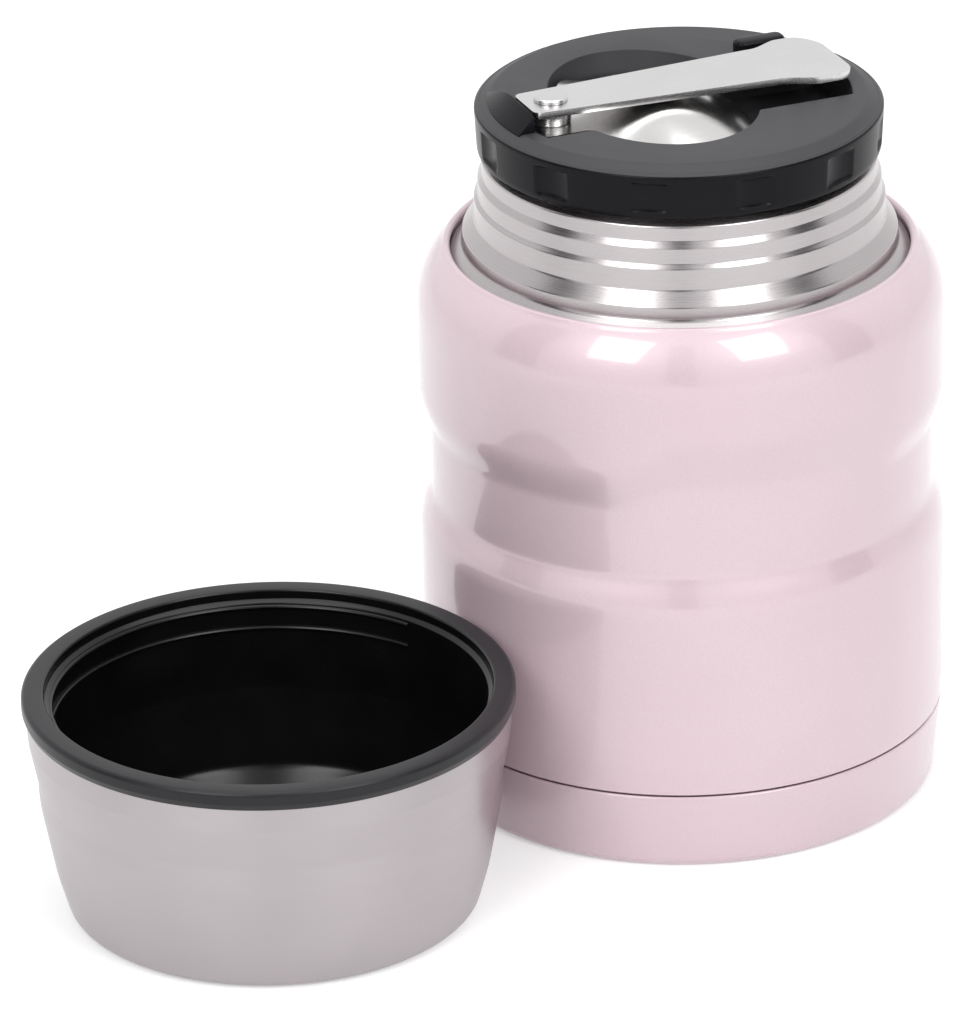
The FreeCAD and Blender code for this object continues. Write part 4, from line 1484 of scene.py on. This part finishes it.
@dataclass
class Studio:
    """Plain pale floor, soft lamps and the camera at the photograph's viewing angle."""

    camera_place: Vector = Vector((0.0, -1.3157, 0.6440))
    camera_right: Vector = Vector((0.999668, 0.018723, -0.017655))
    camera_up: Vector = Vector((0.008375, 0.411963, 0.911169))
    camera_ahead: Vector = Vector((-0.024333, 0.911015, -0.41167))
    lens: float = 282.353
    floor_half: float = 6.0
    floor_glow: float = 0.38
    world_light: float = 0.55

    def build_camera(self) -> None:
        """Places the camera and makes it the scene's."""
        data = bpy.data.cameras.new("photograph_view")
        data.lens = self.lens
        data.sensor_width = 36.0
        data.clip_end = 50.0
        camera = linked("photograph_view", data)
        columns = (self.camera_right, self.camera_up, -self.camera_ahead)
        turn = Matrix([list(column) for column in columns]).transposed()
        camera.matrix_world = Matrix.Translation(self.camera_place) @ turn.to_4x4()
        bpy.context.scene.camera = camera

    def build_floor(self) -> None:
        """Lays the white floor, which keeps soft shadows."""
        half = self.floor_half
        mesh = bpy.data.meshes.new("studio_floor")
        corners = [(-half, -half, 0), (half, -half, 0), (half, half, 0), (-half, half, 0)]
        mesh.from_pydata(corners, [], [(0, 1, 2, 3)])
        floor = linked("studio_floor", mesh)
        material = matt("studio_white", (0.80, 0.80, 0.80), 0.9, 0.1)
        tree = material.node_tree
        surface = tree.nodes["Principled BSDF"]
        seen = tree.nodes.new("ShaderNodeLightPath")
        strength = tree.nodes.new("ShaderNodeMath")
        strength.operation = "MULTIPLY"
        strength.inputs[1].default_value = self.floor_glow
        tree.links.new(self._shown(tree, seen), strength.inputs[0])
        surface.inputs["Emission Color"].default_value = (1.0, 1.0, 1.0, 1.0)
        tree.links.new(strength.outputs[0], surface.inputs["Emission Strength"])
        mesh.materials.append(material)

    def build_world(self) -> None:
        """Makes a soft world that shows white behind the object."""
        world = bpy.data.worlds.new("studio_world")
        bpy.context.scene.world = world
        world.use_nodes = True
        tree = world.node_tree
        background = tree.nodes["Background"]
        seen = tree.nodes.new("ShaderNodeLightPath")
        strength = tree.nodes.new("ShaderNodeMapRange")
        strength.inputs["To Min"].default_value = self.world_light
        strength.inputs["To Max"].default_value = 1.0
        tree.links.new(self._shown(tree, seen), strength.inputs["Value"])
        background.inputs["Color"].default_value = (1.0, 1.0, 1.0, 1.0)
        tree.links.new(strength.outputs["Result"], background.inputs["Strength"])

    def _shown(self, tree: bpy.types.NodeTree, seen: bpy.types.Node) -> bpy.types.NodeSocket:
        """Whether a ray is one that shows the background: camera, glossy or transmission.

        Args:
            tree: The tree under construction.
            seen: Its Light Path node.

        Returns:
            A value of 1 for such a ray, and 0 for any other.
        """
        shown = seen.outputs["Is Camera Ray"]
        for kind in ("Is Glossy Ray", "Is Transmission Ray"):
            either = tree.nodes.new("ShaderNodeMath")
            either.operation = "MAXIMUM"
            tree.links.new(shown, either.inputs[0])
            tree.links.new(seen.outputs[kind], either.inputs[1])
            shown = either.outputs[0]
        return shown

    def add_card(
        self, name: str, azimuth: float, distance: float, width: float, height: float, low: float
    ) -> None:
        """Stands a dark card on edge, facing the object, for metal to mirror.

        Args:
            name: The card's name.
            azimuth: Direction of its middle in degrees.
            distance: Its distance in metres.
            width: Its width in metres.
            height: Its height in metres.
            low: Height of its lower edge in metres.
        """
        turn = math.radians(azimuth)
        middle = Vector((math.cos(turn), math.sin(turn))) * distance
        across = Vector((-math.sin(turn), math.cos(turn))) * width / 2
        ends = (middle - across, middle + across)
        corners = [(end.x, end.y, z) for end in ends for z in (low, low + height)]
        mesh = bpy.data.meshes.new(name)
        mesh.from_pydata(corners, [], [(0, 1, 3, 2)])
        card = linked(name, mesh)
        mesh.materials.append(matt(name, (0.03, 0.03, 0.035), 1.0, 0.0))
        card.visible_camera = False
        card.visible_shadow = False

    def add_lamp(self, name: str, spot: Vector, target: Vector, size: Point, watts: float) -> None:
        """Adds a soft lamp.

        Args:
            name: The lamp's name.
            spot: Where it stands, in metres.
            target: What it faces.
            size: Its width and height in metres.
            watts: Its power.
        """
        data = bpy.data.lights.new(name, "AREA")
        data.shape = "RECTANGLE"
        data.size, data.size_y = size
        data.energy = watts
        lamp = linked(name, data)
        lamp.location = spot
        lamp.rotation_euler = (target - spot).to_track_quat("-Z", "Y").to_euler()

    def build_lamps(self) -> None:
        """Places two soft boxes in front, a broad one overhead, and dark cards between them."""
        target = Vector((0.0, 0.0, 0.07))
        self.add_lamp("left_softbox", Vector((-0.66, -1.10, 1.15)), target, (0.62, 0.9), 9.0)
        self.add_lamp("right_softbox", Vector((0.80, -1.02, 1.15)), target, (0.62, 0.9), 9.0)
        self.add_lamp("overhead", Vector((0.0, 0.2, 1.8)), target, (1.6, 1.2), 12.0)
        self.add_card("card_behind_camera", -90.0, 1.9, 0.42, 2.4, 0.0)
        self.add_card("card_left", -163.0, 1.5, 0.55, 1.8, 0.0)
        self.add_card("card_right", -13.0, 1.5, 0.55, 1.8, 0.0)

    def build(self) -> None:
        """Builds the whole studio and sets the view transform."""
        self.build_camera()
        self.build_floor()
        self.build_world()
        self.build_lamps()
        bpy.context.scene.view_settings.view_transform = "Standard"


def main() -> None:
    """Builds the object around the frame, then the studio."""
    logging.basicConfig(level=logging.INFO, format="%(name)s: %(message)s")
    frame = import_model()
    finishes = Finishes.build(Stopper.azimuth, Cup.centre)
    ridges = RidgeTree()
    jar = Jar(finishes, ridges)
    jar.build_shell()
    jar.build_neck()
    jar.build_thread()
    jar.dress_hidden(frame["nodes"])
    stopper = Stopper(finishes, ridges)
    stopper.build_cap()
    stopper.build_catches()
    stopper.build_plug()
    stopper.build_thread()
    dress(frame["nodes"]["stopper_insulation"], finishes.foam)
    spoon = Spoon(finishes)
    spoon.build_sheets()
    spoon.build_rivet()
    cup = Cup(finishes, ridges)
    cup.build_shell()
    cup.build_liner()
    cup.build_thread()
    Studio().build()


if __name__ == "__main__":
    main()
